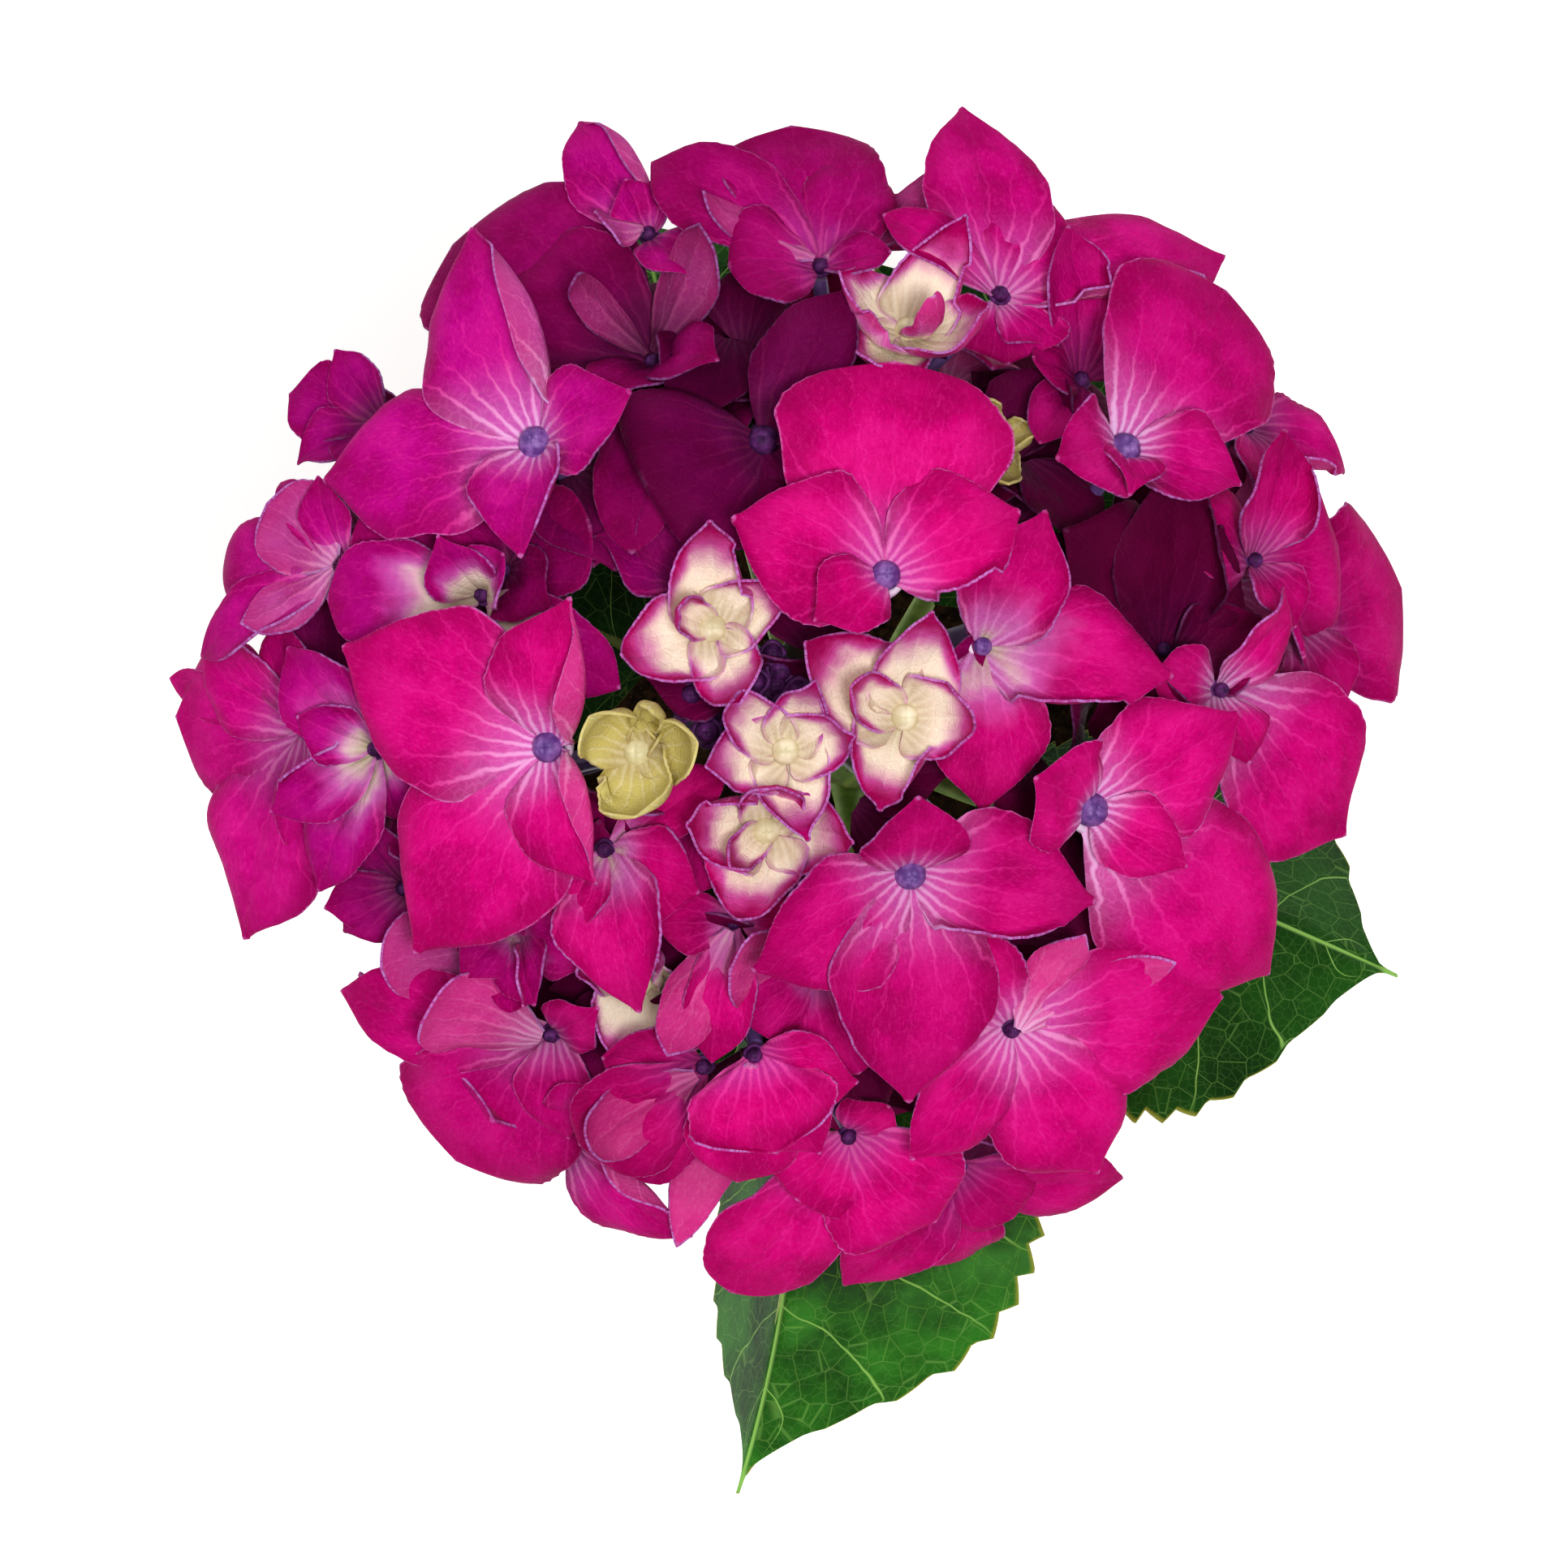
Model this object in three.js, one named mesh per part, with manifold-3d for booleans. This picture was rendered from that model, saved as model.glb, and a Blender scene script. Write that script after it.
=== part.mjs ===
// A mophead hydrangea in a plain nursery pot.  Millimetres, +Z up.
// The origin is the centre of the pot's flat underside.  The flower head leans to -X and +Y of the pot.
import * as THREE from 'three';
import { mergeVertices } from 'three/addons/utils/BufferGeometryUtils.js';
import Module from 'manifold-3d';

const wasm = await Module();
wasm.setup();

// ---- driving dimensions ----
const POT_HEIGHT = 95;
const POT_RIM_RADIUS = 52.5;
const POT_BASE_RADIUS = 37;
const POT_WALL = 1.6;
const POT_LIP_HEIGHT = 13;
const POT_LIP_STEP = 2.4;
const POT_EDGE = 1.2;                                 // width of the chamfer round the foot
const LIP_EDGE = 0.8;                                 // depth of the chamfers round the lip
const POT_FLOOR = 2.4;
const DRAIN_RADIUS = 2.5;
const DRAIN_RING = 25;
const DRAIN_COUNT = 6;

const SOIL_TOP = 83;
const SOIL_BUMP = 1.6;
const SOIL_GAP = 0.7;                                 // gap between the root ball and the pot's wall
const SOIL_SHOULDER = 3;
const SOIL_WAVE_X = 0.33;                             // radians for each millimetre along the soil's waves
const SOIL_WAVE_Y = 0.29;

const HEAD_CENTRE = new THREE.Vector3(-14, 13, 180);  // middle of the flower head's lower plane
const DOME_RADIUS = 85;
const DOME_HEIGHT = 69;
const DOME_BREAK = 75;                                // past this radius the dome falls off in a straight cone

const STEM_BASE = new THREE.Vector3(2, -2, SOIL_TOP - 22);
const STEM_TOP = new THREE.Vector3(-13, 12, 170);
const STEM_BASE_RADIUS = 4.6;
const STEM_TOP_RADIUS = 3.4;
const STEM_BOW = new THREE.Vector3(1.5, -1, 0);

const SEPAL_THICKNESS = 0.9;
const LEAF_THICKNESS = 1.0;
const EYE_RADIUS = 2.3;
const CLEARANCE = 0.35;                               // gap kept between neighbouring pieces
const SMALLEST_DETAIL = 0.05;                         // slivers left by a cut that are thinner than this go

// ---- the flower head's table ----
// A floret: eye x, eye y, how far the eye is sunk below the dome, then its sepals.
// A sepal: tip x, tip y, tip lift off the dome, width, cup at the base, curl at the tip (radians at the
// edge, up is positive), roll in degrees, and tip sharpness.  x and y count from the head's centre.
const CROWN = [
  [-31.9, 31.3, 6, [
    [-40.6, 59.1, 6, 22.3, 0.7, -0.5, -10, 0.75], [-59.3, 27.4, 2, 20.4, 0.2, -0.4, 0, 0.6],
    [-33.4, 16.7, 3, 14.2, 1.2, 1, 0, 0.7], [-19.8, 37.3, 4, 13.3, 0.5, 0.3, 20, 0.75]]],
  [-30.2, -6.8, 5, [
    [-56.4, 5.7, 3, 23.2, 0.3, -0.3, 0, 0.7], [-27.2, 11.5, 5, 17.1, 0.5, 0.3, 0, 0.7],
    [-47.3, -32.6, 0, 23.7, 0.3, -0.2, 0, 0.75], [-24.5, -23.7, 2, 15.2, 0.4, 0.2, 10, 0.7]]],
  [11.8, 14.5, 4, [
    [13, 41.2, 0, 26.1, 0.3, -0.2, 0, 0.42], [-7.2, 21.4, 3, 19, 0.4, -0.3, 0, 0.7],
    [28.3, 22.4, 3, 18, 0.5, -0.2, 0, 0.55], [3.7, 9.3, 4, 9.5, 0.5, 0.2, 0, 0.5]]],
  [42.1, 30.8, 6, [
    [55.7, 51.6, 3, 23.2, 0.4, -0.2, 0, 0.42], [33.4, 29.2, 3, 13.3, 0.5, 0, 0, 0.7],
    [56.8, 26.6, 2, 13.3, 0.5, 0.4], [43, 25.8, 1, 8.5, 0.8, 0.5]]],
  [37.6, -14.6, 5, [
    [56.3, -2.6, 3, 17.6, 0.5, -0.2, 0, 0.75], [49.5, -21.7, 3, 10.4, 0.6, 0.4, 0, 0.75],
    [61.7, -35.9, -2, 23.7, 0.3, -0.3], [30.8, -11, 5, 14.2, 0.6, 0.3, 0, 0.5]]],
  [14.9, -22.6, 4, [
    [15.7, -12.9, 5, 13.3, 0.6, 0.4], [-4.1, -34.9, 2, 16.6, 0.4, -0.3, -10, 0.7],
    [14.7, -51.1, 3, 20.9, 0.3, 0.5, 0, 0.7], [37.9, -26.1, 2, 19.4, 0.3, -0.3, 0, 0.75],
    [5.3, -22, -4, 5.3, 0.3, 0, 0, 0.7]]],
  [24, 5.8, 9, [
    [31.7, 22.2, 3, 14.2, 0.8, 0.2, 0, 0.65], [47.7, 2, 1, 19.4, 0.2, -0.3, 0, 0.8],
    [24.1, -14.6, -4, 15.2, 0.3, -0.2, 0, 0.65]]],
];
const YOUNG = [
  [-9.7, 8, 9, [
    [-21, 4.5, 1, 13.3, 0.9, -0.4, 14, 1], [-9.9, 20.8, 4, 11.9, 0.8, -0.4, 14, 1.15],
    [-1.2, 12.5, 0.5, 10.9, 0.9, -0.3, 14, 1.15], [-6.8, -0.9, 1, 9, 1, 0, 14, 0.5],
    [-13.7, 10.3, 1, 5.7, 0.9, 0.8, 10, 0.4]]],
  [-0.6, -7.3, 8, [
    [-10.2, -9.1, 1, 10, 0.9, -0.3, 14, 1.05], [1.7, -17.8, 1, 11.4, 0.8, -0.3, 14, 1.15],
    [7.3, -5.9, 2, 9, 0.9, -0.2, 14, 1.05], [3, 0.3, 3, 7.6, 0.9, 0, 14, 1.05],
    [-7.4, -0.7, 3, 8.1, 0.9, 0, 14, 0.8]]],
  [14.2, -3.1, 8, [
    [2.2, 6, 4, 13.3, 0.8, -0.3, 14, 1.05], [17.7, 9.3, 4, 11.9, 0.8, -0.3, 14, 1.1],
    [22.7, -3.7, 4, 11.4, 0.8, -0.2, 14, 1], [11.1, -14.2, 2, 13.3, 0.8, -0.3, 14, 1.15],
    [7.7, 0.5, 2, 7.1, 0.9, 0.9, 10, 0.4]]],
  [-3, -17.2, 10, [
    [-12.4, -16.5, 1, 12.8, 0.9, -0.2, 14, 0.95], [7.3, -18.9, 1, 11.4, 0.8, -0.3, 14, 1.1],
    [-6.4, -28.5, 1, 13.3, 0.8, -0.2, 14, 1], [-1.4, -12, 0, 9, 0.9, 0.3, 14, 0.5],
    [-7.1, -21.4, 0, 5.7, 0.9, 0.8, 10, 0.4]]],
  [-19.1, -7.4, 10, [
    [-19.3, -15.3, 2, 11.9, 1, 0.4, 0, 0.4], [-24.1, -4, 2, 10, 1, 0.4, 10, 0.4],
    [-12.6, -6.6, 3, 9.5, 1, 0.5, 0, 0.42], [-17.4, -1.8, 3, 5.7, 1.1, 0.8, 0, 0.45]]],
  [14.9, 45.9, 11, [
    [22.1, 60, 6, 12.3, 0.8, 0, 12, 1.1], [6.7, 52.9, 4, 13.3, 0.8, -0.2, 12, 1],
    [24, 46.9, 4, 11.4, 0.9, 0.1, 12, 0.55], [10.9, 41.2, 1, 10, 1, 0.3],
    [18.3, 49, 2, 5.7, 0.9, 0.9, 10, 0.4]]],
  [-19.1, -36.5, 15, [
    [-25, -32.3, -5, 10.4, 1.1, 0.4, 10, 0.45], [-22.6, -45.6, -6, 12.3, 0.9, -0.1, 10, 0.7],
    [-11.2, -44.5, -6, 10.4, 0.9, -0.1, 10, 0.65], [-18.1, -31.8, -8, 8.5, 1, 0.4]]],
  [25.8, 32.3, 16, [
    [24.6, 36.7, -8, 6.6, 1.1, 0.5], [27.4, 26.4, -8, 6.2, 1.1, 0.5], [30.5, 32.9, -8, 6.2, 1.1, 0.5]]],
];
const BACK = [
  [-3.3, 31.6, 10, [
    [-18.4, 26.6, -3, 23.2, 0.3, -0.3, 0, 0.4], [7.1, 50.6, -2, 11.9, 0.5, 0.2, 15, 0.65],
    [1.2, 26.6, -8, 7.6], [-5.1, 22.4, -8, 9.5], [1.2, 34.4, -7, 3.8, 0.5, 0.3]]],
  [3.8, 54.2, 9, [
    [0.1, 72.5, -5, 19.4, 0.4, -0.2, 0, 0.4], [9.8, 68.3, -6, 11.4, 0.3, 0.1, 10, 0.5],
    [-17.7, 68.3, -1, 12.3, 0.7, 0.3, -15, 0.55], [-11.2, 63.1, 1, 4.6, 0.5, 0.2, 0, 0.7],
    [13.1, 55.5, 0, 5.7, 0.9, 0.5, 40, 0.6], [22.5, 69.2, -3, 5.2, 0.6, 0.3, 0, 0.55],
    [-7.1, 54.8, -4, 14.2, 0.5, 0.1, 0, 0.42]]],
  [26.7, 50.8, 9, [
    [22.1, 75.6, 2, 15.7, 0.5, 0.2, 0, 0.78], [55.9, 56.4, -3, 16.1, 0.3, -0.2, 0, 0.7],
    [11.7, 60.5, -3, 7.6, 0.8, 0.4, 0, 0.5], [27.7, 42.2, -10, 15.7, 0.5, 0.2, 0, 0.45],
    [33.9, 44.3, -9, 11.4, 0.5, 0.2], [33.9, 63.1, -4, 12.3, 0.3, -0.2]]],
  [-18.1, 58.9, 12, [
    [-27.2, 74.3, 0, 12.3, 0.5, 0.3, 0, 0.75], [-24.8, 61.2, -2, 6.6, 0.7, 0.4, 0, 0.6],
    [-14.4, 66.8, -4, 5.7, 0.8, 0.5], [-12.6, 53.2, -6, 7.6, 0.6, 0.3],
    [-21.2, 65.7, -3, 7.6, 0.5, 0.2, 10]]],
  [-17.5, 42.2, 16, [
    [-43.4, 58.3, -5, 25.1, 0.3, -0.2, 0, 0.42], [-27.4, 52.7, 1, 4.9, 0.9, 0.9, 0, 0.5],
    [-11, 59.1, 2, 7.8, 0.8, 0.5, 0, 0.6], [-34.7, 54.8, -8, 18, 0.3, -0.2, 0, 0.42],
    [-9.7, 42.2, -4, 9.5, 0.6, 0.3], [-19.7, 17.1, -8, 9.5, 0.4, 0.2, 0, 0.5],
    [-23.8, 37, -5, 9.5, 0.5, 0.3]]],
  [37.1, 40.2, 15, [
    [35.2, 59.5, -1, 10.9, 0.7, 0.3, 0, 0.6], [31.3, 30.8, -7, 7.6, 0.8, 0.5, 30],
    [44.9, 50.6, -6, 9.5, 0.4, 0], [30.3, 42.2, -8, 8.5, 0.5, 0.2]]],
];
const RIGHT = [
  [47.5, 5.7, 17, [
    [47.7, 29, -3, 19, 0.5, 0.3, 0, 0.65], [35, 20.3, -5, 20.4, 0.5, 0.2, 0, 0.5],
    [42.3, -3.1, -11, 10.4], [54.7, 21.4, -9, 14.2]]],
  [54.7, 0.5, 11, [
    [70.9, -18, -4, 23.7, 0.3, -0.3, 0, 0.5], [63.1, 13, -3, 9.5, 0.8, 0.4, 40], [45.5, 2, -9, 9.5],
    [57.9, -8.9, -6, 12.3, 0.4, 0]]],
  [59.4, 17.2, 12, [
    [62.8, 33.7, 1, 15.7, 0.7, 0.3, 0, 0.6], [70.8, 19.3, -6, 19.9, 0.3, -0.3, 0, 0.42],
    [64.5, 8.9, -6, 10.4, 0.7, 0.2], [50, 22.4, -9, 13.3]]],
  [65.1, 8.9, 16, [
    [79.8, 14.1, -10, 22.8, 0.3, -0.3, 0, 0.42], [71, -3, -12, 13.3], [67, 22.9, -14, 11.4]]],
  [58.9, 34.9, 14, [
    [72.6, 29.7, -8, 14.2, 0.4, -0.3, 0, 0.7], [60.9, 25.6, -9, 7.6], [52, 43, -12, 9.5]]],
];
const LEFT = [
  [-38.9, 12.5, 12, [
    [-58.6, 12.2, -3, 12.8, 0.6, 0, 0, 0.45], [-44.1, 18.9, -2, 9.5, 0.8, 0.3, 0, 0.55],
    [-35.7, 17.4, -5, 9.5, 0.8, 0.3], [-21.2, 0.5, -9, 9.5, 0.3]]],
  [-36.3, 15.6, 15, [
    [-55.8, 19.1, -6, 13.3, 0.4, 0, 0, 0.42], [-24.8, 20.9, -9, 13.3, 0.3, 0, 0, 0.42],
    [-30.5, 11, -8, 10.4, 0.4, 0], [-43, 22.4, -5, 8.5, 0.5, 0.2]]],
  [-56.7, 16.2, 9, [
    [-66.4, 24.3, -1, 11.4, 0.5, 0.1, 0, 0.42], [-76, 5.1, -3, 8.1, 0.5, 0.2, 0, 0.6],
    [-73.6, 17.2, -5, 10.4, 0.3, 0, 0, 0.42], [-69.7, 8.9, -1, 6.5, 0.5, 0.2, 0, 0.5],
    [-60.2, 27.6, -3, 6.6, 0.6, 0.4], [-65.4, 27.6, -5, 4.7, 0.9, 0.8, 30]]],
  [-52.6, -7, 10, [
    [-65.7, -15.1, -2, 10.4, 0.6, 0.2, 0, 0.7], [-64, 5.7, -3, 11.4, 0.9, 0.4, 0, 0.6],
    [-59.9, -25, -6, 10.4, 0.4, 0, 0, 0.7], [-49.3, -16.2, -11, 9.5], [-62.3, -2.6, -3, 8.5, 0.8, 0.4]]],
  [-62.6, -4.2, 13, [
    [-79.2, -2.6, -8, 18, 0.3, -0.3, 0, 0.45], [-70.4, -31.4, -6, 20.4, 0.3, -0.3, 0, 0.7],
    [-80.1, 2.4, -9, 5.7, 0.4, 0.2], [-76, 5.7, -5, 11.4, 0.5, 0.2, 0, 0.6],
    [-64.9, 9.9, -9, 10.4, 0.5, 0.2], [-60.2, -23.5, -9, 8.5]]],
  [-34.7, -32.3, 15, [
    [-51.8, -34.4, -7, 11.4, 0.3, 0, 0, 0.42], [-41.5, -26.6, -6, 10.4, 0.5, 0.2],
    [-27.2, -28.7, -6, 10.4, 0.6, 0.3, 0, 0.5], [-33.1, -39.3, -5, 8.5, 0.9, 0.9, 30, 0.5],
    [-39.9, -40.2, -9, 11.4]]],
  [-28.5, -56.8, 14, [
    [-13, -69.8, -7, 15.7, 0.3, -0.2, 0, 0.7], [-33.7, -58.9, -10, 12.3], [-19.1, -57.9, -10, 9.5],
    [-24.3, -49.5, -8, 9.5, 0.5, 0.2]]],
  [-52.4, 34.9, 14, [
    [-64.6, 38.9, -6, 10.4, 0.4, 0, 0, 0.5], [-58.1, 44.3, -6, 7.6, 0.6, 0.4],
    [-63.3, 30.2, -7, 8.5, 0.6, 0.5], [-55.5, 27.6, -8, 9.5, 0.5, 0.3]]],
  [-30.5, -43.3, 14, [
    [-43, -59.8, -8, 22.8, 0.3, -0.2, 0, 0.42], [-57.8, -38.3, -8, 12.8, 0.4, -0.2, 0, 0.6],
    [-46.7, -41, -1, 12.3, 0.4, 0.1, 0, 0.42], [-28.5, -56.6, -9, 10.4, 0.4, 0.1],
    [-24.8, -40.2, -8, 7.6, 0.5, 0.3]]],
  [-49.3, -24.7, 15, [
    [-59.3, -27.1, -8, 7.6, 0.5, 0.2], [-57.1, -30.2, -9, 8.5, 0.4, 0.1],
    [-55.5, -15.1, -9, 9.5, 0.5, 0.2], [-49.3, -33.9, -11, 9.5]]],
];
const FRONT = [
  [-23.3, -19.7, 9, [
    [-19.1, -39.8, -1, 15.7, 0.5, 0.5, 0, 0.75], [-8.1, -10.4, -10, 7.1, 0.6, 0.4, -30, 0.5],
    [-11.8, -25, -6, 12.3, 0.4, 0.1, 0, 0.5], [-29.5, -29.7, -4, 7.6, 0.6, 0.3]]],
  [-34.7, -28.7, 14, [
    [-25.5, -28.5, -7, 8.5, 0.5, 0.2], [-32.1, -39.3, -5, 8.5, 0.8, 0.4],
    [-41.5, -35.7, -6, 8.5, 0.8, 0.3]]],
  [-11, -47.2, 11, [
    [-26.6, -57.4, -3, 14.2, 0.9, 0.5, 0, 0.45], [-25.5, -57.2, 1, 8.3, 0.4, 0, 0, 0.42],
    [-22.2, -59.8, -6, 12.3, 0.8, 0.5, 0, 0.42], [-23.8, -45.4, -6, 11.4, 0.8, 0.5, 0, 0.5]]],
  [-4.5, -45.6, 9, [
    [-1.9, -57.7, 0, 19, 0.4, 1.3, 0, 0.42], [8.2, -49, -3, 11.4, 0.5, 0.3, 0, 0.55],
    [-6.8, -62.3, -5, 13.3, 0.3, 0.1, 0, 0.5], [-14.4, -69.7, -4, 7.1, 0.5, 0.1, 0, 0.6],
    [3.8, -57.9, -5, 12.3, 0.4, 0.1]]],
  [7.4, -56.3, 11, [
    [-7.7, -76.5, -4, 14.2, 0.4, -0.2, 0, 0.42], [18.3, -67.3, -1, 20.4, 0.3, -0.2, 0, 0.45],
    [12.5, -51.6, -8, 8.5], [0.7, -64.1, -5, 14.2, 0.3, -0.1, 0, 0.42]]],
  [21.5, -61, 14, [
    [6.9, -76, -7, 12.3, 0.4, -0.1, 0, 0.6], [43, -62.6, -8, 11.4, 0.4, -0.2, 0, 0.6],
    [15.2, -73.7, -9, 19, 0.3, -0.2, 0, 0.42], [28.7, -67.3, -9, 12.3, 0.3, -0.1, 0, 0.42]]],
  [28, -42.5, 8, [
    [39.1, -60.7, 0, 18, 0.4, -0.2, 0, 0.55], [15.2, -58.6, 0, 14.2, 0.4, -0.2, 0, 0.7],
    [54.8, -38.3, -3, 19.4, 0.3, -0.2, 0, 0.5], [37.1, -30.8, -2, 6.6, 0.7, 0.3],
    [18.3, -30.8, -5, 13.3, 0.4, 0.1, 0, 0.5], [48.5, -33.9, -1, 5.7, 0.6, 0.3, 0, 0.6]]],
  [3.6, -33.9, 14, [
    [-7.4, -34.9, -5, 10.4, 0.3, 0, 0, 0.42], [-6.1, -40.7, -8, 10.4, 0.3, -0.1, 0, 0.45],
    [8.5, -47.8, -7, 12.3, 0.3, -0.1, 0, 0.45]]],
  [-7.1, -28.7, 12, [
    [-15.5, -45.4, -1, 7.1, 0.6, 0.3, 0, 0.55], [-9.9, -46.4, -6, 8.5, 0.6, 0.3], [2, -27.6, -9, 8.5],
    [-17, -28.7, -8, 7.6]]],
];

// The skirt: florets low on the head's flank, which face outwards.
const SKIRT_COUNT = 5;
const SKIRT_FIRST_AZIMUTH = 15;
const SKIRT_RADIUS = 58;
const SKIRT_RISE = 18;                                // eye height above the head's lower plane
const SKIRT_REACH = 21;
const SKIRT_SEPAL_WIDTH = 20;
const SKIRT_FLARE = 5;                                // how far the tips stand out past the eye
const SKIRT_DROOP = 0.15;                             // how much the florets face down
const SKIRT_TURNS = [35, 125, 215, 305];
const SKIRT_TWIST = 14;                               // degrees from one floret's sepals to the next one's

// ---- leaves: opposite pairs, each pair turned from the one below ----
// Height on the stem, then tip x, y, z from the head's centre plane, width, crown height of the midrib's
// arch, the tilt in degrees of the left and right halves of the blade, and the midrib's sideways bow.
const LEAVES = [
  [157, -7, -106, -8, 66, 13, -8, -72, 4],
  [157, -20, 66, -22, 60, 14, 14, 10, 2],
  [151, 81, -37, -8, 66, 13, -52, 16, 0],
  [151, -68, 24, -26, 60, 14, 12, 14, -2],
  [122, 44, 62, -62, 58, 12, 12, 14, 3],
  [122, 14, -78, -66, 58, 12, 16, 10, -3],
];
const PETIOLE_LENGTH = 24;
const PETIOLE_RADIUS = 2.0;
const PETIOLE_NECK_RADIUS = 1.2;
const PETIOLE_STANDOFF = 1.2;                         // from the stem's side to the petiole's end
const COLLAR_RISE = 0.7;                              // the collar's height, as a part of the arch

// ---- mesh helpers ----
function geometryFrom(points, triangles) {
  const geometry = new THREE.BufferGeometry();
  const numbers = points.flatMap((point) => [point.x, point.y, point.z]);
  geometry.setAttribute('position', new THREE.Float32BufferAttribute(numbers, 3));
  geometry.setIndex(triangles.flat());
  return geometry;
}

function solidFrom(source) {
  const bare = source.clone();
  bare.deleteAttribute('normal');
  bare.deleteAttribute('uv');
  const merged = mergeVertices(bare, 1e-4);
  const vertProperties = new Float32Array(merged.attributes.position.array);
  const triVerts = new Uint32Array(merged.index.array);
  return new wasm.Manifold(new wasm.Mesh({ numProp: 3, vertProperties, triVerts }));
}

function geometryOf(solid) {
  const mesh = solid.getMesh();
  const geometry = new THREE.BufferGeometry();
  geometry.setAttribute('position', new THREE.Float32BufferAttribute(mesh.vertProperties, 3));
  geometry.setIndex(Array.from(mesh.triVerts));
  return geometry;
}

// Keeps the biggest body of a solid, so that a crumb cut off by a neighbour is dropped.
function largestBody(solid) {
  const bodies = solid.decompose();
  return bodies.reduce((best, body) => (body.volume() > best.volume() ? body : best));
}

// A plate of even thickness over a grid of points: point(s, u) with s along and u from -1 to 1 across.
function plate(point, rows, columns, thickness) {
  const step = 0.01;
  const top = [];
  const bottom = [];
  for (const s of rows) {
    for (const u of columns) {
      const place = point(s, u);
      const along = point(Math.min(s + step, 1), u).sub(point(Math.max(s - step, 0), u));
      const across = point(s, u + step).sub(point(s, u - step));
      const half = along.cross(across).normalize().multiplyScalar(thickness / 2);
      top.push(place.clone().add(half));
      bottom.push(place.clone().sub(half));
    }
  }
  const wide = columns.length;
  const offset = top.length;
  const triangles = [];
  for (let i = 0; i + 1 < rows.length; i += 1) {
    for (let j = 0; j + 1 < wide; j += 1) {
      const a = i * wide + j;
      const b = a + wide;
      triangles.push([a, b, b + 1], [a, b + 1, a + 1]);
      triangles.push([a + offset, b + 1 + offset, b + offset], [a + offset, a + 1 + offset, b + 1 + offset]);
    }
  }
  const last = (rows.length - 1) * wide;
  const rim = [];
  for (let i = 0; i < rows.length - 1; i += 1) rim.push(i * wide);
  for (let j = 0; j < wide - 1; j += 1) rim.push(last + j);
  for (let i = rows.length - 1; i > 0; i -= 1) rim.push(i * wide + wide - 1);
  for (let j = wide - 1; j > 0; j -= 1) rim.push(j);
  rim.forEach((a, k) => {
    const b = rim[(k + 1) % rim.length];
    triangles.push([b, a, a + offset], [b, a + offset, b + offset]);
  });
  return geometryFrom([...top, ...bottom], triangles);
}

// A closed round bar along a smooth curve, tapering from its first radius to its last.
function bar(points, firstRadius, lastRadius, steps, sides) {
  const curve = new THREE.CatmullRomCurve3(points);
  const frames = curve.computeFrenetFrames(steps, false);
  const ring = [];
  for (let i = 0; i <= steps; i += 1) {
    const centre = curve.getPointAt(i / steps);
    const radius = THREE.MathUtils.lerp(firstRadius, lastRadius, i / steps);
    for (let k = 0; k < sides; k += 1) {
      const angle = (2 * Math.PI * k) / sides;
      const out = frames.normals[i].clone().multiplyScalar(Math.cos(angle) * radius);
      out.addScaledVector(frames.binormals[i], Math.sin(angle) * radius);
      ring.push(centre.clone().add(out));
    }
  }
  const triangles = [];
  for (let i = 0; i < steps; i += 1) {
    for (let k = 0; k < sides; k += 1) {
      const a = i * sides + k;
      const b = i * sides + ((k + 1) % sides);
      triangles.push([a, b, b + sides], [a, b + sides, a + sides]);
    }
  }
  for (let k = 1; k + 1 < sides; k += 1) {
    triangles.push([0, k + 1, k]);
    triangles.push([steps * sides, steps * sides + k, steps * sides + k + 1]);
  }
  return geometryFrom(ring, triangles);
}

// ---- the head's dome ----
function domeHeight(x, y) {
  const radius = Math.hypot(x, y);
  const inner = Math.min(radius, DOME_BREAK);
  const root = Math.sqrt(1 - (inner / DOME_RADIUS) ** 2);
  const slope = ((DOME_HEIGHT / DOME_RADIUS) * (inner / DOME_RADIUS)) / root;
  return DOME_HEIGHT * root - slope * (radius - inner);
}

function domeNormal(x, y) {
  const step = 0.5;
  const dx = (domeHeight(x + step, y) - domeHeight(x - step, y)) / (2 * step);
  const dy = (domeHeight(x, y + step) - domeHeight(x, y - step)) / (2 * step);
  return new THREE.Vector3(-dx, -dy, 1).normalize();
}

function onHead(x, y, offset) {
  return new THREE.Vector3(x, y, domeHeight(x, y) + offset).add(HEAD_CENTRE);
}

// ---- florets ----
// Half width of a sepal along its length, as a part of its greatest half width.
const CLAW = 0.16;
const SHOULDER = 0.7;
function sepalOutline(s, sharpness) {
  const peak = SHOULDER / (SHOULDER + sharpness);
  const top = peak ** SHOULDER * (1 - peak) ** sharpness;
  return Math.max((s ** SHOULDER * (1 - s) ** sharpness) / top, CLAW * (1 - s));
}

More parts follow.
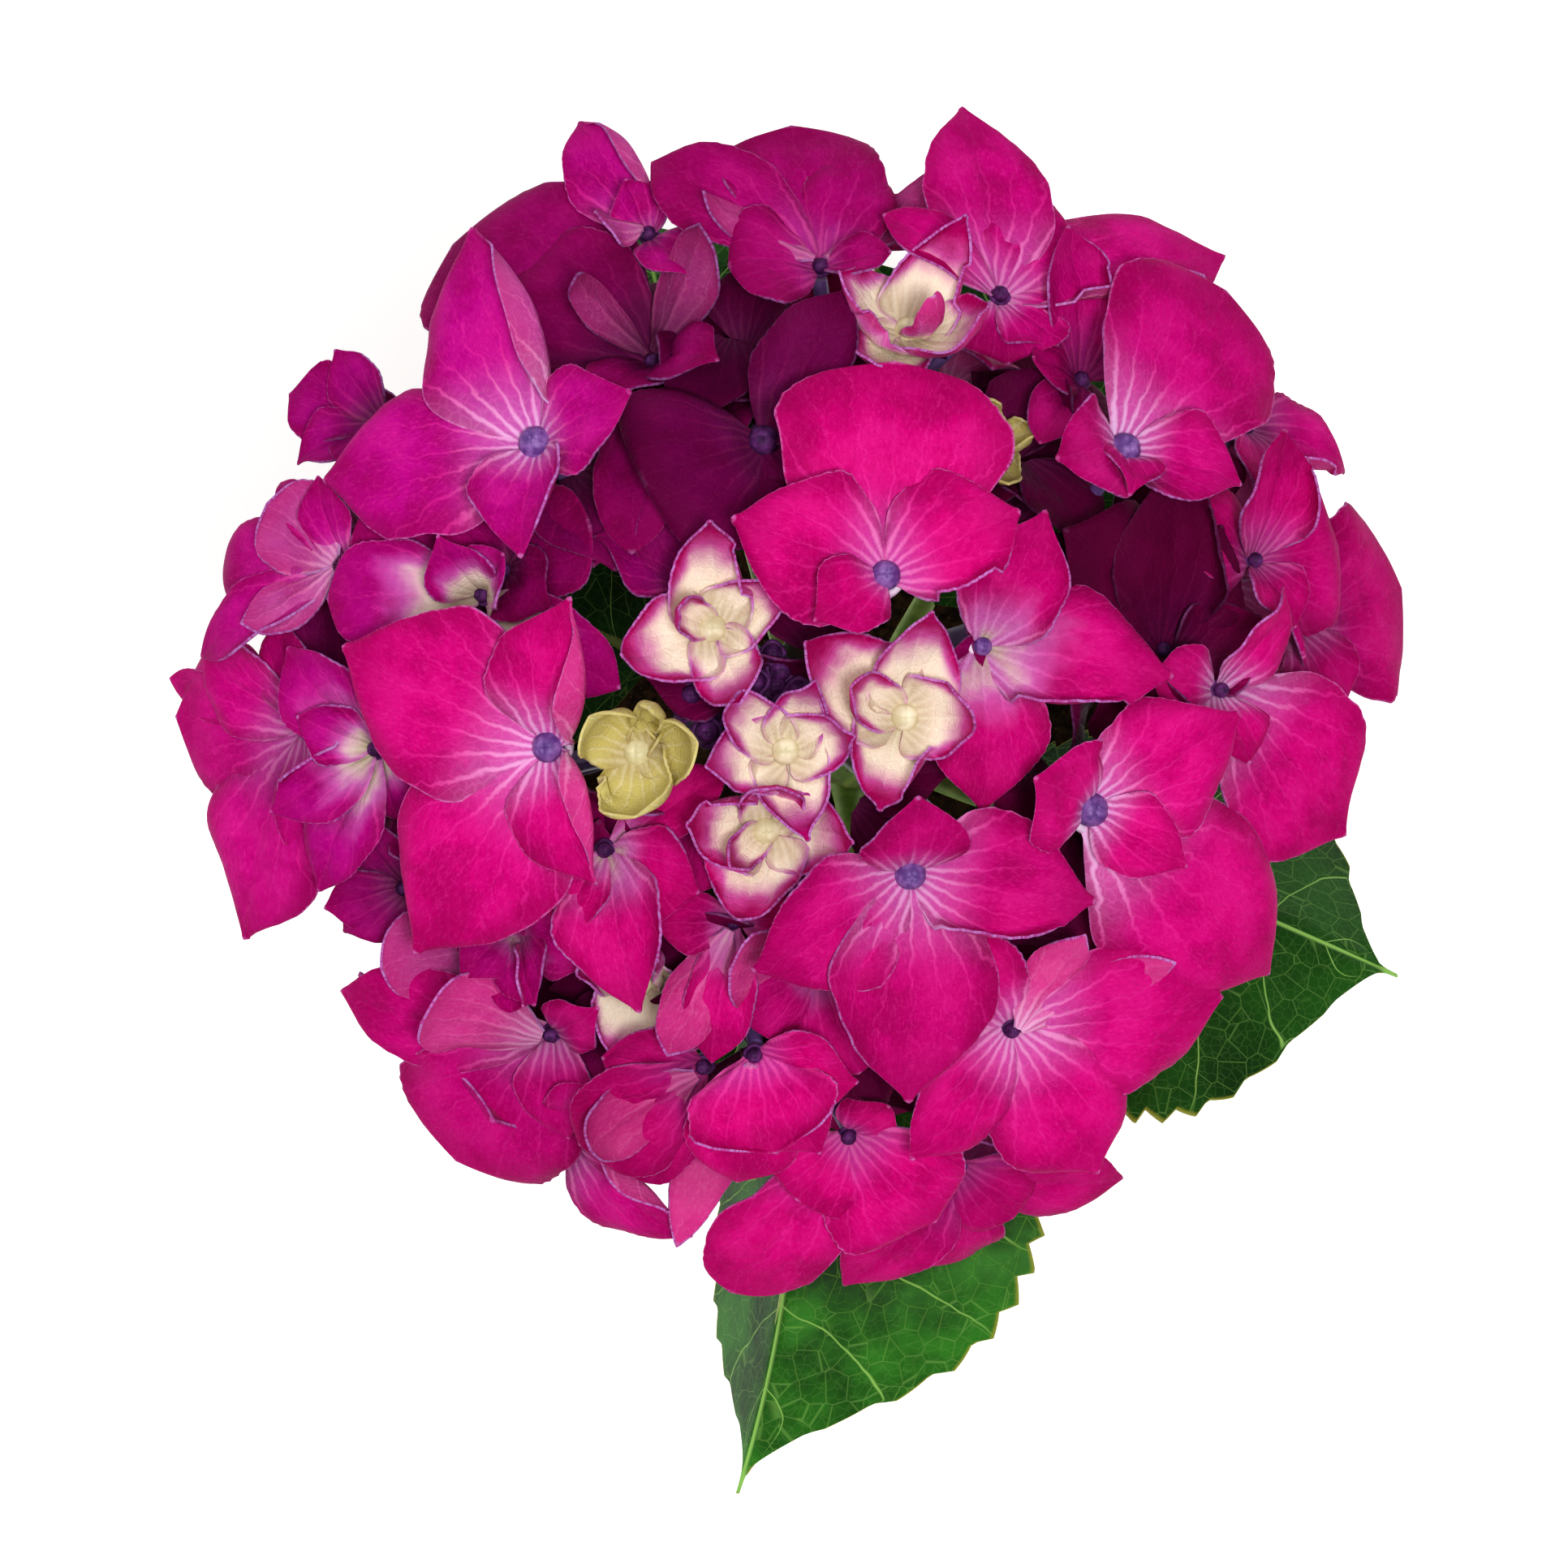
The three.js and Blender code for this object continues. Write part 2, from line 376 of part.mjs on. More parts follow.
const ARCH = 0.09;                                    // rise of a sepal's middle, as a part of its length
const CLAW_START = 0.8;                               // from the eye's centre to the sepal's foot, along it
const CLAW_DROP = 0.9;                                // and below it
function sepalSurface(eye, tip, normal, wide, cup, curl, roll, sharpness) {
  const chord = tip.clone().sub(eye);
  const start = eye.clone().addScaledVector(chord.normalize(), CLAW_START).addScaledVector(normal, -CLAW_DROP);
  const run = tip.clone().sub(start);
  const length = run.length();
  const forward = run.clone().normalize();
  const up = normal.clone().addScaledVector(forward, -normal.dot(forward)).normalize();
  const side = up.clone().cross(forward);
  return (s, u) => {
    const turn = THREE.MathUtils.degToRad(roll) * s;
    const lateral = side.clone().multiplyScalar(Math.cos(turn)).addScaledVector(up, Math.sin(turn));
    const lift = up.clone().multiplyScalar(Math.cos(turn)).addScaledVector(side, -Math.sin(turn));
    const bend = THREE.MathUtils.lerp(cup, curl, s) || 1e-3;
    const half = (wide / 2) * sepalOutline(s, sharpness);
    const place = start.clone().addScaledVector(run, s).addScaledVector(up, length * ARCH * 4 * s * (1 - s));
    place.addScaledVector(lateral, (half * Math.sin(bend * u)) / bend);
    return place.addScaledVector(lift, (half * (1 - Math.cos(bend * u))) / bend);
  };
}

const SEPAL_ROWS = [0, 0.5, 0.97];
const SEPAL_COLUMNS = [-1, 1];
function floretSolid(eye, normal, sepals, grow) {
  const ball = new THREE.OctahedronGeometry(EYE_RADIUS + grow, 0);
  ball.translate(eye.x, eye.y, eye.z);
  let solid = solidFrom(ball);
  for (const sepal of sepals) {
    const surface = sepalSurface(eye, sepal.tip, sepal.normal, sepal.wide + 2 * grow, ...sepal.shape);
    const shell = plate(surface, SEPAL_ROWS, SEPAL_COLUMNS, SEPAL_THICKNESS + 2 * grow);
    solid = solid.add(solidFrom(shell));
  }
  return solid;
}

function domeFloret([x, y, sunk, rows]) {
  const sepals = rows.map(([tx, ty, lift, wide, cup = 0.5, curl = -0.2, roll = 0, sharpness = 0.6]) => ({
    tip: onHead(tx, ty, lift),
    normal: domeNormal((x + tx) / 2, (y + ty) / 2),
    wide,
    shape: [cup, curl, roll, sharpness],
  }));
  return { eye: onHead(x, y, -sunk), normal: domeNormal(x, y), sepals };
}

function skirtFloret(index) {
  const azimuth = THREE.MathUtils.degToRad(SKIRT_FIRST_AZIMUTH + (360 / SKIRT_COUNT) * index);
  const outward = new THREE.Vector3(Math.cos(azimuth), Math.sin(azimuth), -SKIRT_DROOP).normalize();
  const along = new THREE.Vector3(-Math.sin(azimuth), Math.cos(azimuth), 0);
  const upward = outward.clone().cross(along);
  const eye = new THREE.Vector3(Math.cos(azimuth) * SKIRT_RADIUS, Math.sin(azimuth) * SKIRT_RADIUS, SKIRT_RISE);
  eye.add(HEAD_CENTRE);
  const sepals = SKIRT_TURNS.map((turn) => {
    const angle = THREE.MathUtils.degToRad(turn + SKIRT_TWIST * index);
    const tip = eye.clone().addScaledVector(along, Math.cos(angle) * SKIRT_REACH);
    tip.addScaledVector(upward, Math.sin(angle) * SKIRT_REACH).addScaledVector(outward, SKIRT_FLARE);
    return { tip, normal: outward, wide: SKIRT_SEPAL_WIDTH, shape: [0.5, -0.3, 0, 0.6] };
  });
  return { eye, normal: outward, sepals };
}

const floretGroups = [
  ['crown_floret', CROWN.map(domeFloret), '#d6007a'],
  ['young_floret', YOUNG.map(domeFloret), '#e8d8a8'],
  ['back_floret', BACK.map(domeFloret), '#a8006a'],
  ['right_floret', RIGHT.map(domeFloret), '#c80068'],
  ['left_floret', LEFT.map(domeFloret), '#b0107e'],
  ['front_floret', FRONT.map(domeFloret), '#dc0a7c'],
  ['skirt_floret', Array.from({ length: SKIRT_COUNT }, (_, index) => skirtFloret(index)), '#b81078'],
];

// ---- flower stalks: the peduncle forks to a ring of knots, and each knot bears its florets' pedicels ----
const KNOT_RING = 32;
const KNOT_COUNT = 6;
const KNOT_DEPTH = 30;
const KNOT_RADIUS = 3.2;
const PEDICEL_RADIUS = 0.9;
const PEDICEL_GAP = 2.7;
const FORK_RISE = 6;                                  // the fork's height above the head's lower plane
const PEDUNCLE_TOP_RADIUS = 3.0;
const BRANCH_RADIUS = 2.4;
const BRANCH_TIP_RADIUS = 1.7;
const BRANCH_SAG = 2;
const BRANCH_START = 1.5;                             // how far below the fork the branches begin
const FIRST_KNOT_TURN = 0.3;                          // as a part of the step between knots
function knots() {
  const list = [onHead(0, 0, -KNOT_DEPTH)];
  for (let k = 0; k < KNOT_COUNT; k += 1) {
    const angle = (2 * Math.PI * (k + FIRST_KNOT_TURN)) / KNOT_COUNT;
    list.push(onHead(KNOT_RING * Math.cos(angle), KNOT_RING * Math.sin(angle), -KNOT_DEPTH));
  }
  return list;
}

function stalksSolid(grow) {
  const foot = STEM_TOP.clone().add(new THREE.Vector3(0, 0, CLEARANCE + 0.1));
  const fork = HEAD_CENTRE.clone().add(new THREE.Vector3(0, 0, FORK_RISE));
  const root = fork.clone().add(new THREE.Vector3(0, 0, -BRANCH_START));
  let solid = solidFrom(bar([foot, fork], STEM_TOP_RADIUS + grow, PEDUNCLE_TOP_RADIUS + grow, 1, 7));
  const places = knots();
  for (const knot of places) {
    const bend = fork.clone().lerp(knot, 0.5).add(new THREE.Vector3(0, 0, -BRANCH_SAG));
    const branch = bar([root, bend, knot], BRANCH_RADIUS + grow, BRANCH_TIP_RADIUS + grow, 2, 4);
    const ball = new THREE.IcosahedronGeometry(KNOT_RADIUS + grow, 0);
    ball.translate(knot.x, knot.y, knot.z);
    solid = solid.add(solidFrom(branch)).add(solidFrom(ball));
  }
  for (const [, florets] of floretGroups) {
    for (const floret of florets) {
      const nearest = places.reduce((a, b) => (b.distanceTo(floret.eye) < a.distanceTo(floret.eye) ? b : a));
      const end = floret.eye.clone().addScaledVector(floret.normal, -PEDICEL_GAP);
      solid = solid.add(solidFrom(bar([nearest, end], PEDICEL_RADIUS + grow, PEDICEL_RADIUS + grow, 1, 3)));
    }
  }
  return solid;
}

// ---- leaves ----
const LEAF_ROWS = [0, 0.12, 0.3, 0.55, 0.74, 0.86, 0.985];
const LEAF_COLUMNS = [-1, 0, 1];
const LEAF_BASE_POWER = 0.9;
const LEAF_TIP_POWER = 0.6;
const LEAF_BELLY = 0.6 ** LEAF_BASE_POWER * 0.4 ** LEAF_TIP_POWER;
const DRIP_TIP = 0.15;                                // the drawn-out tip's length, as a part of the blade's
const LEAF_NARROWEST = 0.05;
const LEAF_NECK = 0.06;                               // where the petiole ends, as a part of the blade's length
function leafOutline(s) {
  const belly = (s ** LEAF_BASE_POWER * (1 - s) ** LEAF_TIP_POWER) / LEAF_BELLY;
  return Math.max(belly * (1 - Math.exp(-(((1 - s) / DRIP_TIP) ** 2))), LEAF_NARROWEST);
}

function leafMidrib([height, x, y, z, , arch, , , bow]) {
  const along = (height - STEM_BASE.z) / (STEM_TOP.z - STEM_BASE.z);
  const node = STEM_BASE.clone().lerp(STEM_TOP, along);
  const tip = new THREE.Vector3(x, y, z).add(HEAD_CENTRE);
  const flat = new THREE.Vector3(tip.x - node.x, tip.y - node.y, 0).normalize();
  const side = new THREE.Vector3(-flat.y, flat.x, 0);
  const root = node.clone().addScaledVector(flat, STEM_BASE_RADIUS + PETIOLE_STANDOFF);
  const collar = node.clone().addScaledVector(flat, PETIOLE_LENGTH);
  collar.z += arch * COLLAR_RISE;
  const bladeArch = (s) => {
    const rise = 4 * s * (1 - s);
    const place = collar.clone().lerp(tip, s).addScaledVector(side, bow * rise);
    place.z += arch * rise;
    return place;
  };
  return { root, collar, side, bladeArch };
}

function leafSolid(row, grow) {
  const [, , , , wide, , leftTilt, rightTilt] = row;
  const { root, collar, side, bladeArch } = leafMidrib(row);
  const up = new THREE.Vector3(0, 0, 1);
  const surface = (s, u) => {
    const tilt = THREE.MathUtils.degToRad(u > 0 ? leftTilt : rightTilt);
    const half = (wide / 2 + grow) * leafOutline(s) * Math.abs(u);
    const place = bladeArch(s).addScaledVector(side, Math.sign(u) * half * Math.cos(tilt));
    return place.addScaledVector(up, half * Math.sin(tilt));
  };
  const blade = solidFrom(plate(surface, LEAF_ROWS, LEAF_COLUMNS, LEAF_THICKNESS + 2 * grow));
  const neck = bladeArch(LEAF_NECK);
  const petiole = bar([root, collar, neck], PETIOLE_RADIUS + grow, PETIOLE_NECK_RADIUS + grow, 3, 6);
  return blade.add(solidFrom(petiole));
}

// ---- pot, soil and stem ----
function wallRadius(z) {
  return THREE.MathUtils.lerp(POT_BASE_RADIUS, POT_RIM_RADIUS - POT_LIP_STEP, z / POT_HEIGHT);
}

function turned(profile, segments) {
  const shape = new THREE.LatheGeometry(profile.map(([r, z]) => new THREE.Vector2(r, z)), segments);
  shape.rotateX(Math.PI / 2);
  return shape;
}

function potSolid() {
  const lipBottom = POT_HEIGHT - POT_LIP_HEIGHT;
  const stepTop = lipBottom + POT_WALL;
  const shell = turned([
    [0, 0], [POT_BASE_RADIUS - POT_EDGE, 0], [wallRadius(POT_EDGE), POT_EDGE],
    [wallRadius(lipBottom), lipBottom], [POT_RIM_RADIUS - LIP_EDGE, lipBottom + LIP_EDGE],
    [POT_RIM_RADIUS, POT_HEIGHT - LIP_EDGE], [POT_RIM_RADIUS - LIP_EDGE, POT_HEIGHT],
    [POT_RIM_RADIUS - POT_WALL, POT_HEIGHT - LIP_EDGE], [wallRadius(stepTop) - POT_WALL, stepTop],
    [wallRadius(POT_FLOOR) - POT_WALL, POT_FLOOR], [0, POT_FLOOR],
  ], 24);
  let solid = solidFrom(shell);
  for (let k = 0; k < DRAIN_COUNT; k += 1) {
    const angle = (2 * Math.PI * (k + 0.5)) / DRAIN_COUNT;
    const drill = new THREE.CylinderGeometry(DRAIN_RADIUS, DRAIN_RADIUS, 3 * POT_FLOOR, 8);
    drill.rotateX(Math.PI / 2);
    drill.translate(DRAIN_RING * Math.cos(angle), DRAIN_RING * Math.sin(angle), POT_FLOOR / 2);
    solid = solid.subtract(solidFrom(drill));
  }
  return solid;
}

// The root ball fills the pot from its floor to just under the lip, with an uneven top.
function soilSolid() {
  const inside = (z) => wallRadius(z) - POT_WALL - SOIL_GAP;
  const bottom = POT_FLOOR + CLEARANCE;
  const shoulder = SOIL_TOP - SOIL_SHOULDER;
  const reach = inside(SOIL_TOP) - 2;
  const ball = turned([
    [0, bottom], [inside(bottom), bottom], [inside(shoulder), shoulder],
    [reach, SOIL_TOP], [(2 * reach) / 3, SOIL_TOP], [reach / 3, SOIL_TOP], [0, SOIL_TOP],
  ], 16);
  const place = ball.attributes.position;
  for (let i = 0; i < place.count; i += 1) {
    if (place.getZ(i) > SOIL_TOP - 0.5) {
      const wave = Math.sin(place.getX(i) * SOIL_WAVE_X) * Math.cos(place.getY(i) * SOIL_WAVE_Y + 1);
      place.setZ(i, SOIL_TOP + SOIL_BUMP * wave);
    }
  }
  return solidFrom(ball);
}

function stemSolid(grow) {
  const middle = STEM_BASE.clone().lerp(STEM_TOP, 0.5).add(STEM_BOW);
  return solidFrom(bar([STEM_BASE, middle, STEM_TOP], STEM_BASE_RADIUS + grow, STEM_TOP_RADIUS + grow, 6, 10));
}

// ---- putting the plant together ----
// Every piece is cut back by the pieces already there, each grown by the clearance.
const group = new THREE.Group();
const placed = [];

function boxesMeet(a, b) {
  return [0, 1, 2].every((axis) => a.min[axis] < b.max[axis] && b.min[axis] < a.max[axis]);
}

function addPiece(name, solid, grown, colour, roughness) {
  let body = solid;
  for (const other of placed) {
    if (boxesMeet(body.boundingBox(), other.boundingBox())) body = body.subtract(other);
  }
  body = largestBody(body.simplify(SMALLEST_DETAIL));
  placed.push(grown);
  const material = new THREE.MeshStandardMaterial({ color: colour, roughness, metalness: 0 });
  const mesh = new THREE.Mesh(geometryOf(body), material);
  mesh.name = name;
  group.add(mesh);
}

addPiece('pot', potSolid(), potSolid(), '#9a5638', 0.6);
addPiece('stem', stemSolid(0), stemSolid(CLEARANCE), '#6d7f3c', 0.7);
addPiece('soil', soilSolid(), soilSolid(), '#3a2a1e', 0.95);
addPiece('flower_stalks', stalksSolid(0), stalksSolid(CLEARANCE), '#b79ab8', 0.6);
for (const [name, florets, colour] of floretGroups) {
  florets.forEach((floret, index) => {
    const whole = floretSolid(floret.eye, floret.normal, floret.sepals, 0);
    const grown = floretSolid(floret.eye, floret.normal, floret.sepals, CLEARANCE);
    addPiece(`${name}_${index + 1}`, whole, grown, colour, 0.5);
  });
}
LEAVES.forEach((row, index) => {
  addPiece(`leaf_${index + 1}`, leafSolid(row, 0), leafSolid(row, CLEARANCE), '#1f5a1c', 0.45);
});

export default group;
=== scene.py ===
# A mophead hydrangea in a plain nursery pot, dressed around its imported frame.  Metres, +Z up.
import math
import random

import bpy
import numpy as np
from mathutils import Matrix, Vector, noise


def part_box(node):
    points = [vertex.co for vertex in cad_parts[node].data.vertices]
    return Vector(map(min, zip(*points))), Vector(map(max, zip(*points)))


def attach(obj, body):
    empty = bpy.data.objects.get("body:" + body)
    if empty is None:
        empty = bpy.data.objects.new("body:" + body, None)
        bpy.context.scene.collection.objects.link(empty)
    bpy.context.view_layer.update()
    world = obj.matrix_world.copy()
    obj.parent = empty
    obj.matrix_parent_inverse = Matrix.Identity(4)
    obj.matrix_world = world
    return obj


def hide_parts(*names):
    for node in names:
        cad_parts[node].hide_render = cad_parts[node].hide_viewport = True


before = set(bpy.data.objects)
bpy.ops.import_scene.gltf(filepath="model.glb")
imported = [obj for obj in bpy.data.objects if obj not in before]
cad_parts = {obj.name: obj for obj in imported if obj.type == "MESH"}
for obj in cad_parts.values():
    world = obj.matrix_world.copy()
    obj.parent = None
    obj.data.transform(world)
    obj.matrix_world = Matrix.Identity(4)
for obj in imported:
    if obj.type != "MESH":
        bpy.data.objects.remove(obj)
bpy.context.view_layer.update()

MM = 0.001

# ---- Camera ----
# It looks straight down on the flower head from a metre above the florets' rim, with the plant's back
# (+Y) at the top of the picture.
RIM_PLANE = 0.212
CAMERA_RISE = 1.0
FIELD = 0.2009
HEAD_MIDDLE = (-0.0148, 0.0016)
camera_data = bpy.data.cameras.new("camera")
camera_data.sensor_width = 36
camera_data.lens = camera_data.sensor_width * CAMERA_RISE / FIELD
camera_data.clip_start = 0.01
camera = bpy.data.objects.new("camera", camera_data)
camera.location = (*HEAD_MIDDLE, RIM_PLANE + CAMERA_RISE)
bpy.context.collection.objects.link(camera)
bpy.context.scene.camera = camera

# ---- Floor and light ----
# A plain pale floor that glows faintly of itself, painted light that washes out the plant's shadow on it,
# a pale even surround, and three large soft lamps: a broad one overhead, a key from the front right and
# a weaker fill from the back left.
FLOOR_GLOW = 0.3
SURROUND_STRENGTH = 0.27
bpy.ops.object.select_all(action="DESELECT")
bpy.ops.mesh.primitive_plane_add(size=24, location=(0, 0, 0))
floor = bpy.context.object
floor.name = "floor"
floor_paint = bpy.data.materials.new("floor_paint")
floor_paint.use_nodes = True
floor_shader = floor_paint.node_tree.nodes["Principled BSDF"]
floor_shader.inputs["Base Color"].default_value = (0.98, 0.98, 0.98, 1)
floor_shader.inputs["Roughness"].default_value = 0.9
floor_shader.inputs["Emission Color"].default_value = (1, 1, 1, 1)
floor_shader.inputs["Emission Strength"].default_value = FLOOR_GLOW
floor.data.materials.append(floor_paint)

surround = bpy.data.worlds.new("surround")
surround.use_nodes = True
surround.node_tree.nodes["Background"].inputs["Color"].default_value = (1, 1, 1, 1)
surround.node_tree.nodes["Background"].inputs["Strength"].default_value = SURROUND_STRENGTH
bpy.context.scene.world = surround
bpy.context.scene.view_settings.view_transform = "Standard"
bpy.context.scene.view_settings.look = "Medium High Contrast"


def soft_lamp(name, place, aim, size, watts):
    lamp = bpy.data.lights.new(name, "AREA")
    lamp.size = size
    lamp.energy = watts
    holder = bpy.data.objects.new(name, lamp)
    holder.location = place
    holder.rotation_euler = (Vector(aim) - Vector(place)).to_track_quat("-Z", "Y").to_euler()
    bpy.context.collection.objects.link(holder)


soft_lamp("key_lamp", (0.7, -0.6, 4.7), (0, 0, 0), 0.9, 98)
soft_lamp("fill_lamp", (-2.2, 2.0, 3.8), (0, 0, 0), 2.5, 38)
soft_lamp("top_lamp", (-0.1, 0.1, 5.0), (0, 0, 0), 1.6, 54)

# ---- Nursery pot ----
# A tapered, thin-walled moulded pot with a stepped lip and six drain holes in its floor.  It is turned
# from one profile, then drilled.
POT_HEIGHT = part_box("pot")[1].z
POT_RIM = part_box("pot")[1].x
POT_FOOT = 0.037
POT_WALL = 0.0016
LIP_HEIGHT = 0.013
LIP_STEP = 0.0024
DRAIN_RING = 0.025
DRAIN_RADIUS = 0.0025
DRAIN_COUNT = 6
MOULD_RINGS = 5200
TURN_STEPS = 120


def select_only(piece):
    bpy.ops.object.select_all(action="DESELECT")
    piece.select_set(True)
    bpy.context.view_layer.objects.active = piece


def apply_modifiers(piece):
    select_only(piece)
    for modifier in list(piece.modifiers):
        bpy.ops.object.modifier_apply(modifier=modifier.name)


def smooth(piece, degrees):
    select_only(piece)
    bpy.ops.object.shade_smooth_by_angle(angle=math.radians(degrees))


def clean(piece, distance):
    """Merges doubled points and turns every face outwards."""
    select_only(piece)
    bpy.ops.object.mode_set(mode="EDIT")
    bpy.ops.mesh.select_all(action="SELECT")
    bpy.ops.mesh.remove_doubles(threshold=distance)
    bpy.ops.mesh.normals_make_consistent(inside=False)
    bpy.ops.object.mode_set(mode="OBJECT")


def add(tree, kind, inputs=None, **settings):
    """Adds a shader node; an input given as a socket is linked, and any other value is set."""
    node = tree.nodes.new(kind)
    for key, value in settings.items():
        setattr(node, key, value)
    for key, value in (inputs or {}).items():
        if isinstance(value, bpy.types.NodeSocket):
            tree.links.new(value, node.inputs[key])
        else:
            node.inputs[key].default_value = value
    return node


def sums(tree, operation, a, b=0.0):
    return add(tree, "ShaderNodeMath", {0: a, 1: b}, operation=operation).outputs[0]


def ramp(tree, value, low, high, out_low=0.0, out_high=1.0):
    """A smooth step of a value from low to high."""
    inputs = {"Value": value, "From Min": low, "From Max": high, "To Min": out_low, "To Max": out_high}
    return add(tree, "ShaderNodeMapRange", inputs, interpolation_type="SMOOTHSTEP").outputs["Result"]


def blend(tree, factor, a, b):
    node = add(tree, "ShaderNodeMix", data_type="RGBA")
    for socket, value in ((0, factor), (6, a), (7, b)):
        if isinstance(value, bpy.types.NodeSocket):
            tree.links.new(value, node.inputs[socket])
        else:
            node.inputs[socket].default_value = value
    return node.outputs[2]


def paint(code):
    """The linear colour of a six-digit paint code."""
    parts = [int(code[i:i + 2], 16) / 255 for i in (0, 2, 4)]
    return (*[p / 12.92 if p <= 0.04045 else ((p + 0.055) / 1.055) ** 2.4 for p in parts], 1)


def finish_named(name, roughness, specular=0.5):
    """A new material with its shader's plain numbers set.  Returns it with its tree and shader."""
    material = bpy.data.materials.new(name)
    material.use_nodes = True
    tree = material.node_tree
    shader = tree.nodes["Principled BSDF"]
    shader.inputs["Roughness"].default_value = roughness
    shader.inputs["Specular IOR Level"].default_value = specular
    return material, tree, shader


def relief(tree, shader, height, strength, distance):
    bump = add(tree, "ShaderNodeBump", {"Height": height, "Strength": strength, "Distance": distance})
    tree.links.new(bump.outputs["Normal"], shader.inputs["Normal"])


def grain(tree, scale, detail=3.0, rough=0.5, place=None, stretch=None):
    """Noise over Object coordinates, or over another place, its strength from 0 to 1."""
    if place is None:
        place = add(tree, "ShaderNodeTexCoord").outputs["Object"]
    if stretch is not None:
        place = add(tree, "ShaderNodeMapping", {"Vector": place, "Scale": stretch}).outputs["Vector"]
    inputs = {"Vector": place, "Scale": scale, "Detail": detail, "Roughness": rough}
    return add(tree, "ShaderNodeTexNoise", inputs).outputs["Fac"]


def turned(name, profile, steps):
    """Spins a profile of (radius, height) points round the Z axis."""
    mesh = bpy.data.meshes.new(name)
    mesh.from_pydata([(r, 0, z) for r, z in profile], [(i, i + 1) for i in range(len(profile) - 1)], [])
    piece = bpy.data.objects.new(name, mesh)
    bpy.context.collection.objects.link(piece)
    select_only(piece)
    bpy.ops.object.mode_set(mode="EDIT")
    bpy.ops.mesh.select_all(action="SELECT")
    bpy.ops.mesh.spin(steps=steps, angle=2 * math.pi, center=(0, 0, 0), axis=(0, 0, 1))
    bpy.ops.object.mode_set(mode="OBJECT")
    clean(piece, 1e-5)
    return piece


def pot_wall_radius(z):
    return POT_FOOT + (POT_RIM - LIP_STEP - POT_FOOT) * z / POT_HEIGHT


lip_z = POT_HEIGHT - LIP_HEIGHT
pot_outside = [(0.0, 0.0012), (0.012, 0.0012), (0.0125, 0.0), (POT_FOOT - 0.0022, 0.0)]
pot_outside += [(POT_FOOT - 0.0009, 0.0004), (pot_wall_radius(0.0014), 0.0014)]
pot_outside += [(pot_wall_radius(z), z) for z in np.linspace(0.006, lip_z - 0.002, 9)]
pot_outside += [(pot_wall_radius(lip_z), lip_z), (pot_wall_radius(lip_z) + 0.0004, lip_z + 0.0003)]
pot_outside += [(POT_RIM - 0.0012, lip_z + 0.0006), (POT_RIM - 0.0004, lip_z + 0.0014)]
pot_outside += [(POT_RIM - 0.0002, lip_z + 0.006), (POT_RIM, POT_HEIGHT - 0.0018)]
pot_outside += [(POT_RIM - 0.0003, POT_HEIGHT - 0.0006), (POT_RIM - 0.0009, POT_HEIGHT)]
lip_inside = POT_RIM - POT_WALL
pot_inside = [(lip_inside, POT_HEIGHT - 0.0005), (lip_inside - 0.0002, POT_HEIGHT - 0.0015)]
pot_inside += [(lip_inside - 0.0004, lip_z + 0.004), (pot_wall_radius(lip_z) - POT_WALL, lip_z + 0.0015)]
pot_inside += [(pot_wall_radius(0.004) - POT_WALL, 0.004)]
pot_inside += [(pot_wall_radius(0.0024) - POT_WALL - 0.001, 0.0024)]
pot_inside += [(0.0, 0.0026)]
nursery_pot = turned("nursery_pot", pot_outside + pot_inside, TURN_STEPS)
for k in range(DRAIN_COUNT):
    angle = 2 * math.pi * (k + 0.5) / DRAIN_COUNT
    hole_place = (DRAIN_RING * math.cos(angle), DRAIN_RING * math.sin(angle), 0.0012)
    bpy.ops.mesh.primitive_cylinder_add(vertices=24, radius=DRAIN_RADIUS, depth=0.01, location=hole_place)
    drill = bpy.context.object
    hole = nursery_pot.modifiers.new("drain_hole", "BOOLEAN")
    hole.operation = "DIFFERENCE"
    hole.object = drill
    apply_modifiers(nursery_pot)
    bpy.data.objects.remove(drill)
smooth(nursery_pot, 35)

pot_finish, tree, shader = finish_named("pot_moulding", 0.55, 0.4)
speck = grain(tree, 900, 4)
cloud = grain(tree, 40, 3)
dust = ramp(tree, grain(tree, 160, 5, 0.7), 0.52, 0.8)
clay = blend(tree, ramp(tree, cloud, 0.3, 0.7), paint("8f4a30"), paint("a65a3c"))
clay = blend(tree, sums(tree, "MULTIPLY", dust, 0.35), clay, paint("c89a80"))
tree.links.new(clay, shader.inputs["Base Color"])
tree.links.new(ramp(tree, cloud, 0.2, 0.8, 0.45, 0.68), shader.inputs["Roughness"])
place = add(tree, "ShaderNodeTexCoord").outputs["Object"]
height = add(tree, "ShaderNodeSeparateXYZ", {0: place}).outputs["Z"]
rings = sums(tree, "SINE", sums(tree, "MULTIPLY", height, float(MOULD_RINGS)))
relief(tree, shader, sums(tree, "ADD", sums(tree, "MULTIPLY", rings, 0.35), speck), 0.25, 0.0002)
nursery_pot.data.materials.append(pot_finish)
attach(nursery_pot, "root")
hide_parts("pot")

